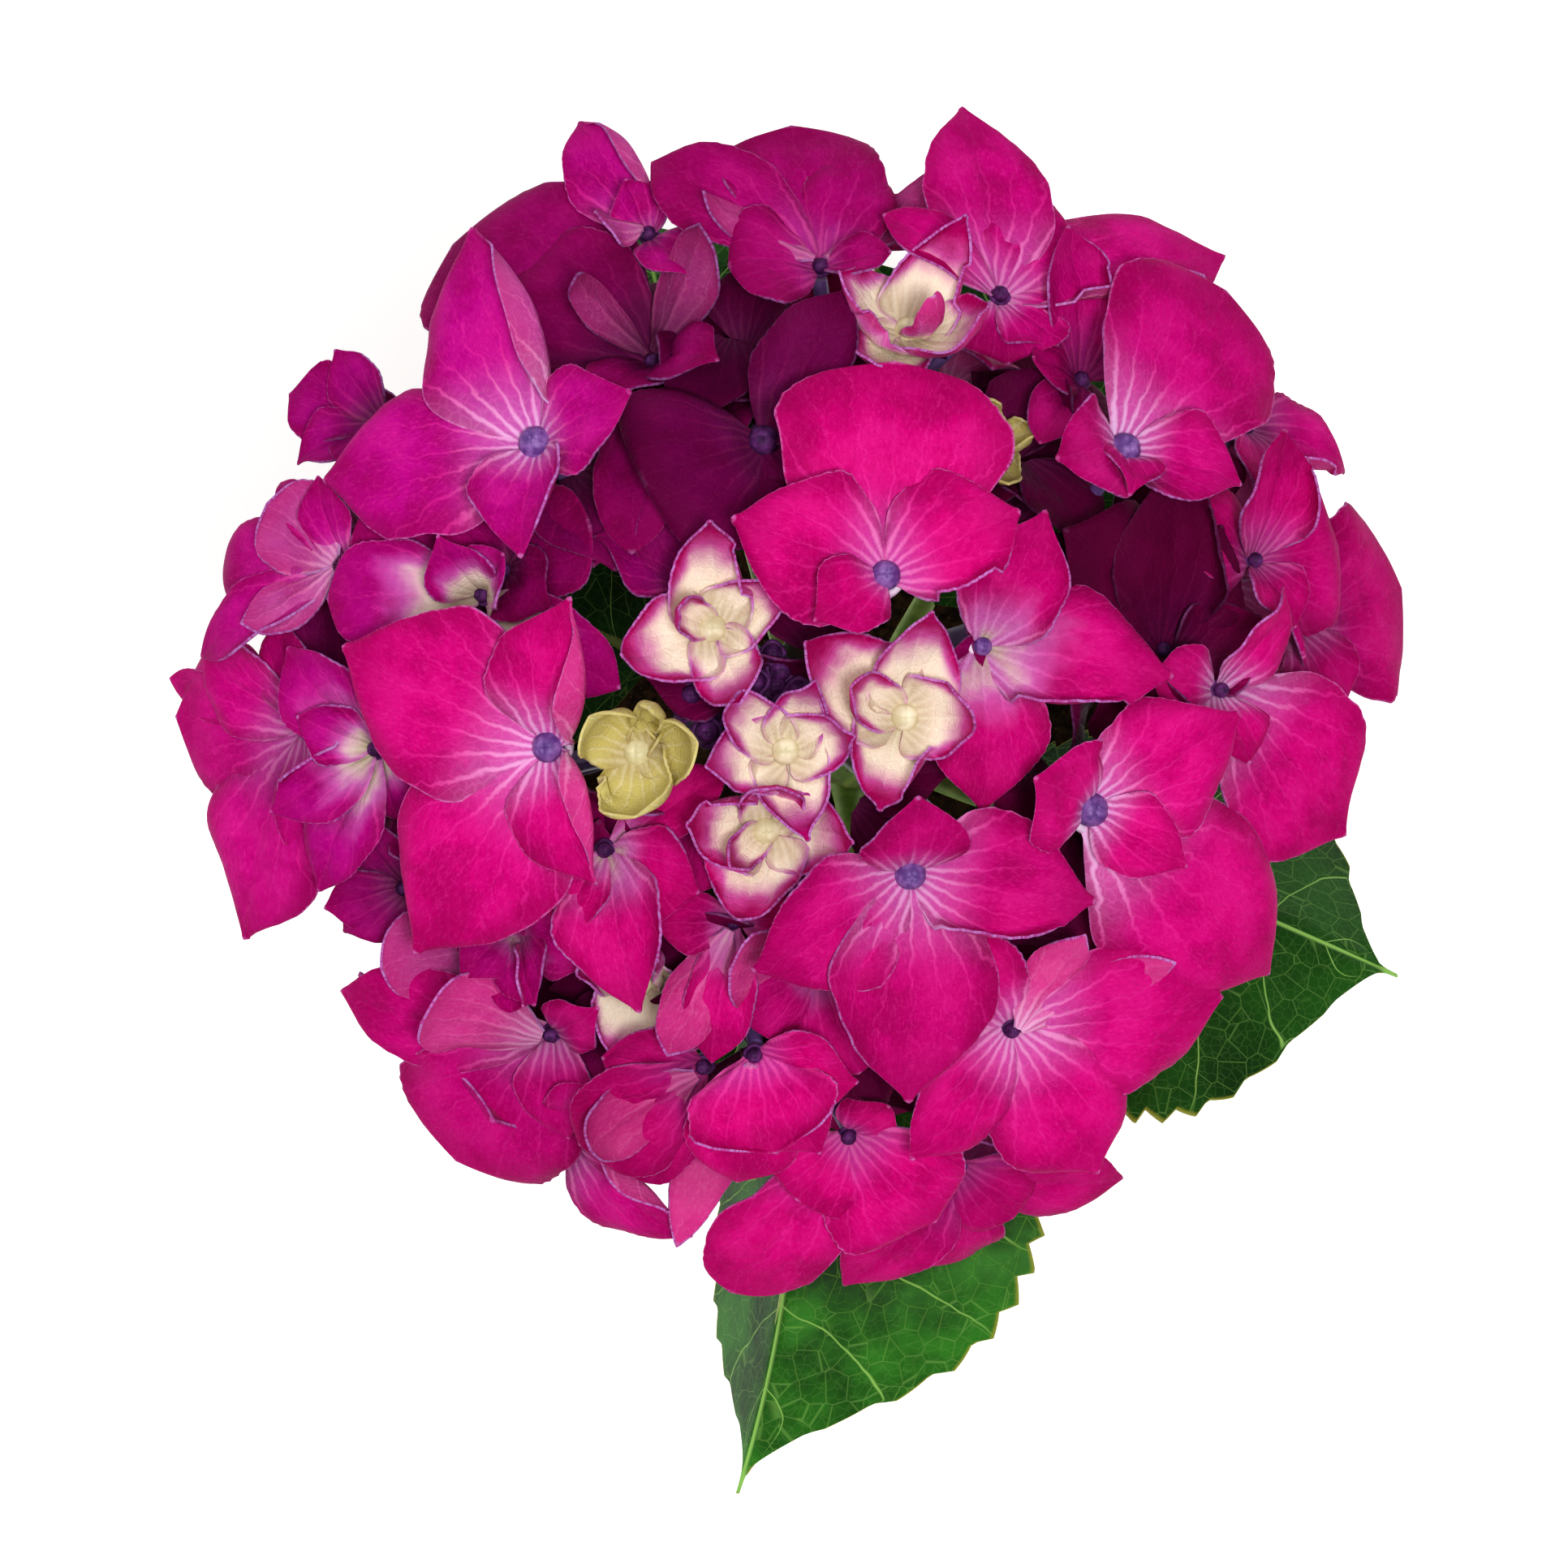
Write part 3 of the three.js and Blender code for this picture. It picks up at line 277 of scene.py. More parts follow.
# ---- Potting compost ----
# A dark peaty root ball that fills the pot to under its lip.  Its top is uneven, and crumbs and shreds
# of bark lie on it.
SOIL_TOP = 0.083
SOIL_GAP = 0.0007
SOIL_TURN_STEPS = 150
CRUMB_COUNT = 420
STEM_CLEARANCE = 0.008
soil_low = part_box("soil")[0].z
soil_rim = pot_wall_radius(SOIL_TOP) - POT_WALL - SOIL_GAP
soil_profile = [(0.0, soil_low), (pot_wall_radius(soil_low) - POT_WALL - 0.0009, soil_low)]
soil_profile += [(pot_wall_radius(SOIL_TOP - 0.003) - POT_WALL - SOIL_GAP, SOIL_TOP - 0.003)]
soil_profile += [(soil_rim - 0.001, SOIL_TOP - 0.0005)]
soil_profile += [(r, SOIL_TOP) for r in np.linspace(soil_rim - 0.002, 0.0, 34)]
root_ball = turned("root_ball", soil_profile, SOIL_TURN_STEPS)
for point in root_ball.data.vertices:
    if point.co.z > SOIL_TOP - 0.0001:
        broad = noise.noise(point.co * 70) * 0.0016
        lumpy = noise.fractal(point.co * 380, 1.0, 2.0, 3) * 0.0009
        point.co.z += broad + lumpy
crumb_draw = random.Random(4)
bpy.ops.mesh.primitive_ico_sphere_add(subdivisions=1, radius=1)
blank = bpy.context.object
crumbs = []
for _ in range(CRUMB_COUNT):
    reach = soil_rim * 0.97 * math.sqrt(crumb_draw.random())
    angle = crumb_draw.uniform(0, 2 * math.pi)
    if reach < STEM_CLEARANCE:
        continue
    size = crumb_draw.uniform(0.0005, 0.0016)
    place = (reach * math.cos(angle), reach * math.sin(angle), SOIL_TOP + crumb_draw.uniform(-0.0002, 0.0009))
    crumb = blank.copy()
    crumb.data = blank.data.copy()
    bpy.context.collection.objects.link(crumb)
    stretch = crumb_draw.choice([1.0, 1.0, 1.3, 2.6])
    spin = crumb_draw.uniform(0, math.pi)
    for point in crumb.data.vertices:
        x, y, z = point.co * size * crumb_draw.uniform(0.75, 1.2)
        x, y = x * stretch, y / math.sqrt(stretch)
        turned_x = x * math.cos(spin) - y * math.sin(spin)
        turned_y = x * math.sin(spin) + y * math.cos(spin)
        point.co = (turned_x + place[0], turned_y + place[1], z * 0.7 + place[2])
    crumbs.append(crumb)
bpy.data.objects.remove(blank)
select_only(root_ball)
for crumb in crumbs:
    crumb.select_set(True)
bpy.ops.object.join()
smooth(root_ball, 60)

compost, tree, shader = finish_named("compost", 0.95, 0.2)
clod = grain(tree, 420, 5, 0.65)
fibre = grain(tree, 1500, 3, 0.6)
peat = blend(tree, ramp(tree, clod, 0.35, 0.65), paint("1c120c"), paint("4a3322"))
peat = blend(tree, ramp(tree, fibre, 0.6, 0.72, 0, 0.55), peat, paint("8a6a48"))
tree.links.new(peat, shader.inputs["Base Color"])
relief(tree, shader, sums(tree, "ADD", clod, sums(tree, "MULTIPLY", fibre, 0.4)), 0.8, 0.0008)
root_ball.data.materials.append(compost)
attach(root_ball, "root")
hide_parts("soil")

# ---- Woody stem ----
# One stem, brown and corky below and green above, ringed with a swelling where each leaf pair grows.
# It stands in the compost and carries the flower head.
STEM_BASE = Vector((0.002, -0.002, 0.061))
STEM_TOP = Vector((-0.013, 0.012, 0.170))
STEM_MIDDLE = STEM_BASE.lerp(STEM_TOP, 0.5) + Vector((0.0015, -0.001, 0))
STEM_BASE_RADIUS = 0.0046
STEM_TOP_RADIUS = 0.0034
LEAF_NODES = (0.122, 0.151, 0.157)
NODE_SWELLING = 0.0007
NODE_SPREAD = 0.0022


def shaped_grid(name, columns, rows, place):
    """A fresh grid whose points are moved by place(s, u): s runs 0 to 1 along, u runs -1 to 1 across."""
    bpy.ops.object.select_all(action="DESELECT")
    bpy.ops.mesh.primitive_grid_add(x_subdivisions=columns, y_subdivisions=rows, size=2)
    piece = bpy.context.object
    piece.name = name
    count = len(piece.data.vertices)
    flat = np.empty(count * 3)
    piece.data.vertices.foreach_get("co", flat)
    flat = flat.reshape(-1, 3)
    s, u = (flat[:, 1] + 1) / 2, -flat[:, 0]
    points = place(s, u)
    piece.data.vertices.foreach_set("co", points.ravel())
    piece.data.update()
    return piece, s, u


def smooth_route(route, count):
    """Evenly spread points on a smooth curve through the route's points."""
    route = [np.array(p, float) for p in route]
    ends = [2 * route[0] - route[1]] + route + [2 * route[-1] - route[-2]]
    found = []
    for i in range(1, len(ends) - 2):
        a, b, c, d = ends[i - 1:i + 3]
        for t in np.linspace(0, 1, 24, endpoint=False):
            found.append(0.5 * (2 * b + (c - a) * t + (2 * a - 5 * b + 4 * c - d) * t * t
                                + (3 * b - a - 3 * c + d) * t ** 3))
    found.append(route[-1])
    found = np.array(found)
    gone = np.concatenate([[0], np.cumsum(np.linalg.norm(np.diff(found, axis=0), axis=1))])
    wanted = np.linspace(0, gone[-1], count)
    return np.stack([np.interp(wanted, gone, found[:, k]) for k in range(3)], axis=1)


def rod(name, route, radius_at, rows, sides):
    """A closed round rod along a route.  radius_at(s, angle) gives its radius."""
    line = smooth_route(route, rows + 1)
    along = np.gradient(line, axis=0)
    along /= np.linalg.norm(along, axis=1)[:, None]
    spare = np.array([1.0, 0, 0]) if abs(along[0][0]) < 0.8 else np.array([0, 1.0, 0])
    across = [np.cross(along[0], spare)]
    for direction in along[1:]:
        across.append(across[-1] - direction * np.dot(across[-1], direction))
    across = np.array([a / np.linalg.norm(a) for a in across])
    other = np.cross(along, across)

    def place(s, u):
        step = np.rint(s * rows).astype(int)
        angle = -math.pi * u
        spoke = np.cos(angle)[:, None] * across[step] + np.sin(angle)[:, None] * other[step]
        return line[step] + radius_at(s, angle)[:, None] * spoke

    piece, s, u = shaped_grid(name, sides, rows, place)
    select_only(piece)
    bpy.ops.object.mode_set(mode="EDIT")
    bpy.ops.mesh.select_all(action="SELECT")
    bpy.ops.mesh.remove_doubles(threshold=1e-7)
    bpy.ops.mesh.select_all(action="DESELECT")
    bpy.ops.mesh.select_non_manifold(extend=False, use_wire=False, use_multi_face=False,
                                     use_non_contiguous=False, use_verts=False)
    bpy.ops.mesh.fill_holes(sides=0)
    bpy.ops.mesh.select_all(action="SELECT")
    bpy.ops.mesh.normals_make_consistent(inside=False)
    bpy.ops.object.mode_set(mode="OBJECT")
    return piece


def stem_radius(s, angle):
    height = STEM_BASE.z + (STEM_TOP.z - STEM_BASE.z) * s
    radius = STEM_BASE_RADIUS + (STEM_TOP_RADIUS - STEM_BASE_RADIUS) * s
    for node_height in LEAF_NODES:
        radius = radius + NODE_SWELLING * np.exp(-((height - node_height) / NODE_SPREAD) ** 2)
    ridges = 0.00012 * np.sin(7 * angle + 9 * s) + 0.00008 * np.sin(13 * angle - 31 * s)
    return radius + ridges


stem = rod("woody_stem", [STEM_BASE, STEM_MIDDLE, STEM_TOP], stem_radius, 90, 32)
smooth(stem, 60)
bark, tree, shader = finish_named("stem_bark", 0.7, 0.35)
place = add(tree, "ShaderNodeTexCoord").outputs["Object"]
height = add(tree, "ShaderNodeSeparateXYZ", {0: place}).outputs["Z"]
streak = grain(tree, 500, 5, 0.6, place, (1, 1, 0.12))
lenticel = ramp(tree, grain(tree, 600, 2, 0.5, place, (1, 1, 0.45)), 0.66, 0.72)
young = ramp(tree, sums(tree, "ADD", height, sums(tree, "MULTIPLY", streak, 0.02)), 0.105, 0.145)
skin = blend(tree, ramp(tree, streak, 0.35, 0.7), paint("5e4630"), paint("8d7350"))
green = blend(tree, ramp(tree, streak, 0.35, 0.7), paint("56722c"), paint("86984a"))
skin = blend(tree, young, skin, green)
skin = blend(tree, sums(tree, "MULTIPLY", lenticel, 0.6), skin, paint("6a3f3c"))
tree.links.new(skin, shader.inputs["Base Color"])
relief(tree, shader, sums(tree, "ADD", streak, lenticel), 0.5, 0.0004)
stem.data.materials.append(bark)
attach(stem, "root")
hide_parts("stem")

# ---- Crown florets ----
# The large open florets on top of the head.  A floret is four papery coloured sepals round a small
# closed bud, the eye, on a pale collar.  Each sepal is a thin curved plate with a keel, fanned veins, a
# waved edge and a finely nicked rim.
# A row: eye x, eye y, how far the eye is sunk below the dome, its colour, then its sepals.
# The colour: how purple, how much painted shade, how cream from the base out, how white the throat's veins
# are.
# A sepal: tip x, tip y, tip lift off the dome, width, cup at the base, curl at the tip, roll in degrees,
# tip sharpness, then how far its left and right edges fold up.  A minus width turns the underside up.
# Millimetres from the head's centre.
CROWN = [
    (-31.9, 31.3, 6, (0.75, 0.03, 0, 0.8), [
        (-40.6, 59.1, 6, 22.3, 0.7, -0.5, -10, 0.75, -0.5, 2.3), (-59.3, 27.4, 2, 20.4, 0.2, -0.4, 0, 0.6),
        (-33.4, 16.7, 3, 14.2, 1.2, 1, 0, 0.7), (-19.8, 37.3, 4, 13.3, 0.5, 0.3, 20, 0.75)]),
    (-30.2, -6.8, 5, (0.12, 0, 0, 0.75), [
        (-56.4, 5.7, 3, 23.2, 0.3, -0.3, 0, 0.7), (-27.2, 11.5, 5, 17.1, 0.5, 0.3, 0, 0.7, -0.4, 2.2),
        (-47.3, -32.6, 0, 23.7, 0.3, -0.2, 0, 0.75),
        (-24.5, -23.7, 2, 15.2, 0.4, 0.2, 10, 0.7, 2.4, -0.4)]),
    (11.8, 14.5, 4, (0.05, 0, 0, 0.4), [
        (13, 41.2, 0, 26.1, 0.3, -0.2, 0, 0.42), (-7.2, 21.4, 3, 19, 0.4, -0.3, 0, 0.7),
        (28.3, 22.4, 3, 18, 0.5, -0.2, 0, 0.55, -0.6, 1.4), (3.7, 9.3, 4, 9.5, 0.5, 0.2, 0, 0.5)]),
    (42.1, 30.8, 6, (0.22, 0.14, 0, 0.9), [
        (55.7, 51.6, 3, 23.2, 0.4, -0.2, 0, 0.42), (33.4, 29.2, 3, 13.3, 0.5, 0, 0, 0.7),
        (56.8, 26.6, 2, 13.3, 0.5, 0.4), (43, 25.8, 1, 8.5, 0.8, 0.5)]),
    (37.6, -14.6, 5, (0.1, 0, 0, 0.9), [
        (56.3, -2.6, 3, 17.6, 0.5, -0.2, 0, 0.75), (49.5, -21.7, 3, 10.4, 0.6, 0.4, 0, 0.75),
        (61.7, -35.9, -2, 23.7, 0.3, -0.3), (30.8, -11, 5, 14.2, 0.6, 0.3, 0, 0.5)]),
    (14.9, -22.6, 4, (0.12, 0.16, 0, 0.7), [
        (15.7, -12.9, 5, 13.3, 0.6, 0.4), (-4.1, -34.9, 2, 16.6, 0.4, -0.3, -10, 0.7),
        (14.7, -51.1, 3, 20.9, 0.3, 0.5, 0, 0.7), (37.9, -26.1, 2, 19.4, 0.3, -0.3, 0, 0.75, -0.3, 1.8),
        (5.3, -22, -4, 5.3, 0.3, 0, 0, 0.7)]),
    (24, 5.8, 9, (0.12, 0.1, 0.2, 0.7), [
        (31.7, 22.2, 3, 14.2, 0.8, 0.2, 0, 0.65, 0.3, 0.8),
        (47.7, 2, 1, 19.4, 0.2, -0.3, 0, 0.8, -0.7, 1.6),
        (24.1, -14.6, -4, 15.2, 0.3, -0.2, 0, 0.65)]),
]
HEAD_CENTRE = np.array([-14.0, 13.0, 180.0])
DOME_RADIUS = 85
DOME_HEIGHT = 69
DOME_BREAK = 75
PLAIN_SHAPE = (0.5, -0.2, 0, 0.6)
CLAW = 0.16
SHOULDER = 0.7
YOUNG_SHOULDER = 0.36
ARCH = 0.09
YOUNG_ARCH = -0.17
CLAW_START = 0.8
CLAW_DROP = 0.9
ROUND_CROWDING = 2.0
POINTED_CROWDING = 1.3
YOUNG_CREAM = 0.5
ROUND_TIP = 0.5
NICK_DEPTH = 0.012
NICK_PITCH = 1.1
LOBE_DEPTH = 0.035
LOBE_RATE = 2.2
EDGE_WAVE = 0.045
KEEL_DEPTH = 0.32
KEEL_WIDTH = 0.55
RIM_DROOP = 0.02
HOOK_START = 0.82
RIB_RATE = 6
RIB_DEPTH = 0.1
RIB_WIDTH = 0.22
RIB_START = 5
FAN_ORIGIN = 2.5
BLISTER_DEPTH = 0.13
SEPAL_THICKNESS = 0.00034
SEPAL_COLUMNS = 22
SEPAL_ROWS = 34
EYE_RADIUS = 2.3
SEAM_WIDTH = 0.28
SEAM_DEPTH = 0.06
DIMPLE_WIDTH = 0.16
DIMPLE_DEPTH = 0.1
COLLAR_DROP = 0.55
COLLAR_RADII = (1.16, 0.3)
FULLNESS = 1.14
# Painted shade deep in the head: its strength, the depth below the dome where it starts, and its run.
RECESS_SHADE = 0.85
RECESS_SHADE_START = 7.5
RECESS_SHADE_RUN = 10.5
RECESS_SHADE_FACING = 0.3
FOLD_START = 0.42
FLAP_FOLD = 1.2
FLAP_RUN = 0.26
VEIN_RATE = 4.6
FOLD_STEPS = ((np.arange(20) + 0.5) / 20)[None, :]


def dome_height(x, y):
    """The dome's height over the head's centre plane, for one place or for an array of them."""
    radius = np.hypot(x, y)
    inner = np.minimum(radius, DOME_BREAK)
    root = np.sqrt(1 - (inner / DOME_RADIUS) ** 2)
    slope = DOME_HEIGHT * inner / DOME_RADIUS ** 2 / root
    return DOME_HEIGHT * root - slope * (radius - inner)


def unit(vector):
    return vector / np.linalg.norm(vector)


def dome_normal(x, y):
    dx = dome_height(x + 0.5, y) - dome_height(x - 0.5, y)
    dy = dome_height(x, y + 0.5) - dome_height(x, y - 0.5)
    return unit(np.array([-dx, -dy, 1.0]))


def on_head(x, y, offset):
    return np.array([x, y, dome_height(x, y) + offset]) + HEAD_CENTRE


def sepal_outline(s, shoulder, sharpness, slimness):
    """Half width along a sepal, as a part of its greatest: a rounded body with a straight-sided point."""
    peak = shoulder / (shoulder + sharpness)
    top = peak ** shoulder * (1 - peak) ** sharpness
    body = np.maximum(s ** shoulder * (1 - s) ** sharpness / top, 1e-6)
    tip_angle = math.radians(np.interp(sharpness, (0.42, 0.5, 0.6, 0.8), (84, 66, 56, 47)))
    wedge = np.maximum((1 - s) * math.tan(tip_angle) * slimness, 1e-6)
    wedge = wedge * (1 - 0.3 * np.exp(-((1 - s) / 0.12) ** 2))
    joined = (body ** -3.5 + wedge ** -3.5) ** (-1 / 3.5)
    blunt = 0.055 * np.sqrt(np.clip((1 - s) / 0.02, 0, 1)) * np.clip((s - 0.8) / 0.15, 0, 1)
    return np.maximum(np.maximum(joined, blunt), CLAW * (1 - s))


def sepal(eye, tip, normal, wide, shape, tint, draw, columns=SEPAL_COLUMNS, rows=SEPAL_ROWS):
    """One sepal's grid from its eye to its tip, with the attributes that its colours read."""
    cup, curl, roll, sharpness = shape[:4]
    young = tint[2] > YOUNG_CREAM
    chance = [draw.uniform(-0.9, 0.5) + (1.0 if young else 0) for _ in range(2)]
    left_fold, right_fold = shape[4:] or chance
    arch = YOUNG_ARCH if young else ARCH
    shoulder = YOUNG_SHOULDER if young else SHOULDER
    if wide < 0:
        wide, normal = -wide, -normal
    wide = wide * FULLNESS
    chord = tip - eye
    start = eye + CLAW_START * unit(chord) - CLAW_DROP * normal
    run = tip - start
    length = np.linalg.norm(run)
    forward = run / length
    up = unit(normal - forward * np.dot(normal, forward))
    side = np.cross(up, forward)
    phase = [draw.uniform(0, 2 * math.pi) for _ in range(6)]
    waves = draw.uniform(1.1, 1.9)
    bias = draw.uniform(-0.9, 0.9)
    hook = draw.uniform(-1.4, 1.0)
    seed = draw.uniform(0, 900)
    plan = {}

    def place(t, u):
        # The outline, its rows crowded towards the tip, with its nicks and lobes.
        s = 1 - (1 - t) ** (ROUND_CROWDING if sharpness < ROUND_TIP else POINTED_CROWDING)
        nick = 1 + NICK_DEPTH * np.sin(2 * math.pi * (s * length / NICK_PITCH) + phase[0]) * np.abs(u) ** 6
        lobe = np.sin(2 * math.pi * s * LOBE_RATE + phase[1] + 2 * np.sign(u)) * np.abs(u) ** 2
        outline = sepal_outline(s, shoulder, sharpness, 2 * length / wide)
        half = wide / 2 * outline * nick * (1 + LOBE_DEPTH * lobe)
        # The bend across: the cup and curl of the whole plate, then the folds of its edges.
        turn = np.radians(roll) * s
        bend = cup + (curl - cup) * s
        across = u[:, None] * FOLD_STEPS
        fold = np.where(u > 0, left_fold, -right_fold) * np.sin(math.pi * np.clip(s, 0.05, 0.85)) ** 0.6
        leaning = bend[:, None] * across
        crease = np.where(np.abs(fold) > FLAP_FOLD, FLAP_RUN, 1 - FOLD_START)[:, None]
        leaning += fold[:, None] * np.clip((np.abs(across) - FOLD_START) / crease, 0, 1)
        lateral = half * u * np.cos(leaning).mean(axis=1)
        lift = half * u * np.sin(leaning).mean(axis=1)
        # The arch, the waved edge, the keel, the drooping rim and the hooked tip.
        lift = lift + length * arch * 4 * s * (1 - s)
        edge = np.abs(u) ** 2.5 * np.sin(math.pi * np.clip(s, 0, 1))
        lift = lift + wide * EDGE_WAVE * edge * np.sin(2 * math.pi * s * waves + phase[2] + bias * np.sign(u))
        lift = lift - KEEL_DEPTH * np.exp(-(u * half / KEEL_WIDTH) ** 2) * np.sin(math.pi * s ** 0.7)
        lift = lift - (0 if young else wide * RIM_DROOP) * np.abs(u) ** 9
        lift = lift + hook * np.clip((s - HOOK_START) / (1 - HOOK_START), 0, 1) ** 2
        # The fanned ribs and the blisters between them.
        x, y = s * length, u * half
        fan = np.mod(np.arctan2(y, x + FAN_ORIGIN) * RIB_RATE + 0.5, 1) - 0.5
        ribs = np.exp(-(fan / RIB_WIDTH) ** 2) * np.clip(x / RIB_START, 0, 1) * (1 - s)
        lift = lift - RIB_DEPTH * ribs
        blister = np.sin(x * 0.9 + phase[3]) * np.sin(y * 1.1 + phase[4])
        blister = blister + np.sin(x * 0.45 - y * 0.6 + phase[5])
        lift = lift + BLISTER_DEPTH * blister * np.sin(math.pi * s)
        sway = np.cos(turn)[:, None] * side + np.sin(turn)[:, None] * up
        rise = np.cos(turn)[:, None] * up - np.sin(turn)[:, None] * side
        spot = start + run * s[:, None] + sway * lateral[:, None] + rise * lift[:, None]
        plan["along"], plan["plan"] = s, np.stack([x, y, np.full_like(x, seed)], axis=1)
        head_x, head_y, head_z = (spot - HEAD_CENTRE).T
        plan["depth"] = dome_height(head_x, head_y) - head_z
        return spot * MM

    piece, t, u = shaped_grid("sepal", columns, rows, place)
    count = len(t)
    mesh = piece.data
    mesh.attributes.new("along", "FLOAT", "POINT").data.foreach_set("value", plan["along"])
    mesh.attributes.new("across", "FLOAT", "POINT").data.foreach_set("value", np.abs(u))
    mesh.attributes.new("plan", "FLOAT_VECTOR", "POINT").data.foreach_set("vector", plan["plan"].ravel())
    tints = np.tile(np.array(tint, float), (count, 1))
    # Painted shade: parts of a sepal sunk deep below the dome, in the head's recesses, are darkened, less on
    # young florets.
    if abs(normal[2]) > RECESS_SHADE_FACING:
        recess_shade = np.clip((plan["depth"] - RECESS_SHADE_START) / RECESS_SHADE_RUN, 0, 1) * RECESS_SHADE
        tints[:, 1] = np.clip(tints[:, 1] + recess_shade * (0.4 if young else 1), 0, 1)
    mesh.attributes.new("tint", "FLOAT_COLOR", "POINT").data.foreach_set("color", tints.ravel())
    return piece


def bud_eye(eye, normal, radius):
    """The closed bud in the middle of a floret: a ball pinched by four seams, on a low collar."""
    bpy.ops.object.select_all(action="DESELECT")
    bpy.ops.mesh.primitive_uv_sphere_add(segments=24, ring_count=14, radius=1)
    ball = bpy.context.object
    turn = Vector((0, 0, 1)).rotation_difference(Vector(normal))
    for point in ball.data.vertices:
        angle = math.atan2(point.co.y, point.co.x)
        seam = math.exp(-(math.sin(2 * angle) / SEAM_WIDTH) ** 2) * max(0, point.co.z + 0.2)
        dimple = math.exp(-(math.hypot(point.co.x, point.co.y) / DIMPLE_WIDTH) ** 2)
        size = radius * MM * (1 - SEAM_DEPTH * seam - DIMPLE_DEPTH * dimple)
        point.co = turn @ (point.co * size) + Vector(eye * MM)
    low = eye - normal * radius * COLLAR_DROP
    bpy.ops.mesh.primitive_torus_add(major_segments=24, minor_segments=8,
                                     major_radius=COLLAR_RADII[0], minor_radius=COLLAR_RADII[1])
    collar = bpy.context.object
    for point in collar.data.vertices:
        angle = math.atan2(point.co.y, point.co.x)
        point.co *= 1 + 0.05 * math.cos(4 * angle)
        point.co = turn @ (point.co * radius * MM) + Vector(low * MM)
    collar.data.polygons.foreach_set("material_index", [1] * len(collar.data.polygons))
    return ball, collar


def walled(plates, name, finishes):
    """Joins sepals into one piece and gives them their thickness, underside and rim."""
    for plate in plates:
        for finish in finishes[:3]:
            plate.data.materials.append(finish)
    select_only(plates[0])
    for plate in plates:
        plate.select_set(True)
    bpy.ops.object.join()
    joined = bpy.context.object
    joined.name = name
    bpy.ops.object.mode_set(mode="EDIT")
    bpy.ops.mesh.select_all(action="SELECT")
    bpy.ops.mesh.remove_doubles(threshold=2e-7)
    bpy.ops.object.mode_set(mode="OBJECT")
    wall = joined.modifiers.new("wall", "SOLIDIFY")
    wall.thickness = SEPAL_THICKNESS
    wall.offset = 0
    wall.material_offset = 1
    wall.material_offset_rim = 2
    apply_modifiers(joined)
    return joined


def floret(node, eye, normal, sepals, tint, finishes, eye_radius=EYE_RADIUS):
    """Builds a whole floret as one piece that stands for its CAD node."""
    draw = random.Random(node)
    plates = [sepal(eye, tip, up, wide, shape, tint, draw) for tip, up, wide, shape in sepals]
    bloom = walled(plates, node + "_bloom", finishes)
    ball, collar = bud_eye(eye, normal, eye_radius)
    for part in (ball, collar):
        part.data.materials.append(finishes[3])
        part.data.materials.append(finishes[4])
    select_only(bloom)
    ball.select_set(True)
    collar.select_set(True)
    bpy.ops.object.join()
    smooth(bloom, 70)
    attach(bloom, "root")
    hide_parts(node)


def dome_florets(group, rows, finishes, eye_sizes):
    for index, (x, y, sunk, tint, sepals) in enumerate(rows):
        shaped = []
        for tip_x, tip_y, lift, wide, *shape in sepals:
            shape = tuple(shape) + PLAIN_SHAPE[min(len(shape), 4):]
            normal = dome_normal((x + tip_x) / 2, (y + tip_y) / 2)
            shaped.append((on_head(tip_x, tip_y, lift), normal, wide, shape))
        eye = on_head(x, y, -sunk)
        floret(f"{group}_{index + 1}", eye, dome_normal(x, y), shaped, tint, finishes, eye_sizes[index])


def sepal_pattern(tree):
    """The places and masks that a sepal's colours share: its veins, net, throat and rim."""
    tint = add(tree, "ShaderNodeAttribute", attribute_name="tint")
    split = add(tree, "ShaderNodeSeparateColor", {0: tint.outputs["Color"]})
    along = add(tree, "ShaderNodeAttribute", attribute_name="along").outputs["Fac"]
    across = add(tree, "ShaderNodeAttribute", attribute_name="across").outputs["Fac"]
    plan = add(tree, "ShaderNodeAttribute", attribute_name="plan").outputs["Vector"]
    parts = add(tree, "ShaderNodeSeparateXYZ", {0: plan})
    far = sums(tree, "ADD", parts.outputs["X"], FAN_ORIGIN)
    fan = sums(tree, "ARCTAN2", parts.outputs["Y"], far)
    wander = sums(tree, "SUBTRACT", grain(tree, 0.3, 3, 0.6, plan), 0.5)
    turn = sums(tree, "ADD", sums(tree, "MULTIPLY", fan, VEIN_RATE), sums(tree, "MULTIPLY", wander, 0.9))
    gap = sums(tree, "MULTIPLY", sums(tree, "PINGPONG", turn, 0.5), 1 / VEIN_RATE)
    gap = sums(tree, "MULTIPLY", gap, far)
    width = ramp(tree, along, 0.0, 0.8, 0.48, 0.22)
    span = {"Value": gap, "From Min": 0.0, "From Max": width, "To Min": 1.0, "To Max": 0.0}
    main = add(tree, "ShaderNodeMapRange", span, interpolation_type="SMOOTHERSTEP").outputs["Result"]
    reach = sums(tree, "SUBTRACT", sums(tree, "MULTIPLY", far, 0.42), sums(tree, "MULTIPLY", gap, 0.75))
    reach = sums(tree, "ADD", reach, sums(tree, "MULTIPLY", wander, 2.6))
    side = ramp(tree, sums(tree, "PINGPONG", reach, 0.5), 0.0, 0.1, 1, 0)
    side = sums(tree, "MULTIPLY", side, ramp(tree, along, 0.1, 0.4))
    cells = {"Vector": plan, "Scale": 0.62, "Randomness": 1.0}
    net = add(tree, "ShaderNodeTexVoronoi", cells, feature="DISTANCE_TO_EDGE").outputs["Distance"]
    net = ramp(tree, net, 0.02, 0.11, 1, 0)
    rim = ramp(tree, across, 0.972, 0.998)
    rim = sums(tree, "MAXIMUM", rim, ramp(tree, along, 0.98, 0.997))
    return {"purple": split.outputs["Red"], "shade": split.outputs["Green"], "cream": split.outputs["Blue"],
            "throat": tint.outputs["Alpha"], "along": along, "across": across, "plan": plan,
            "vein": main, "branch": side, "net": net, "rim": rim}


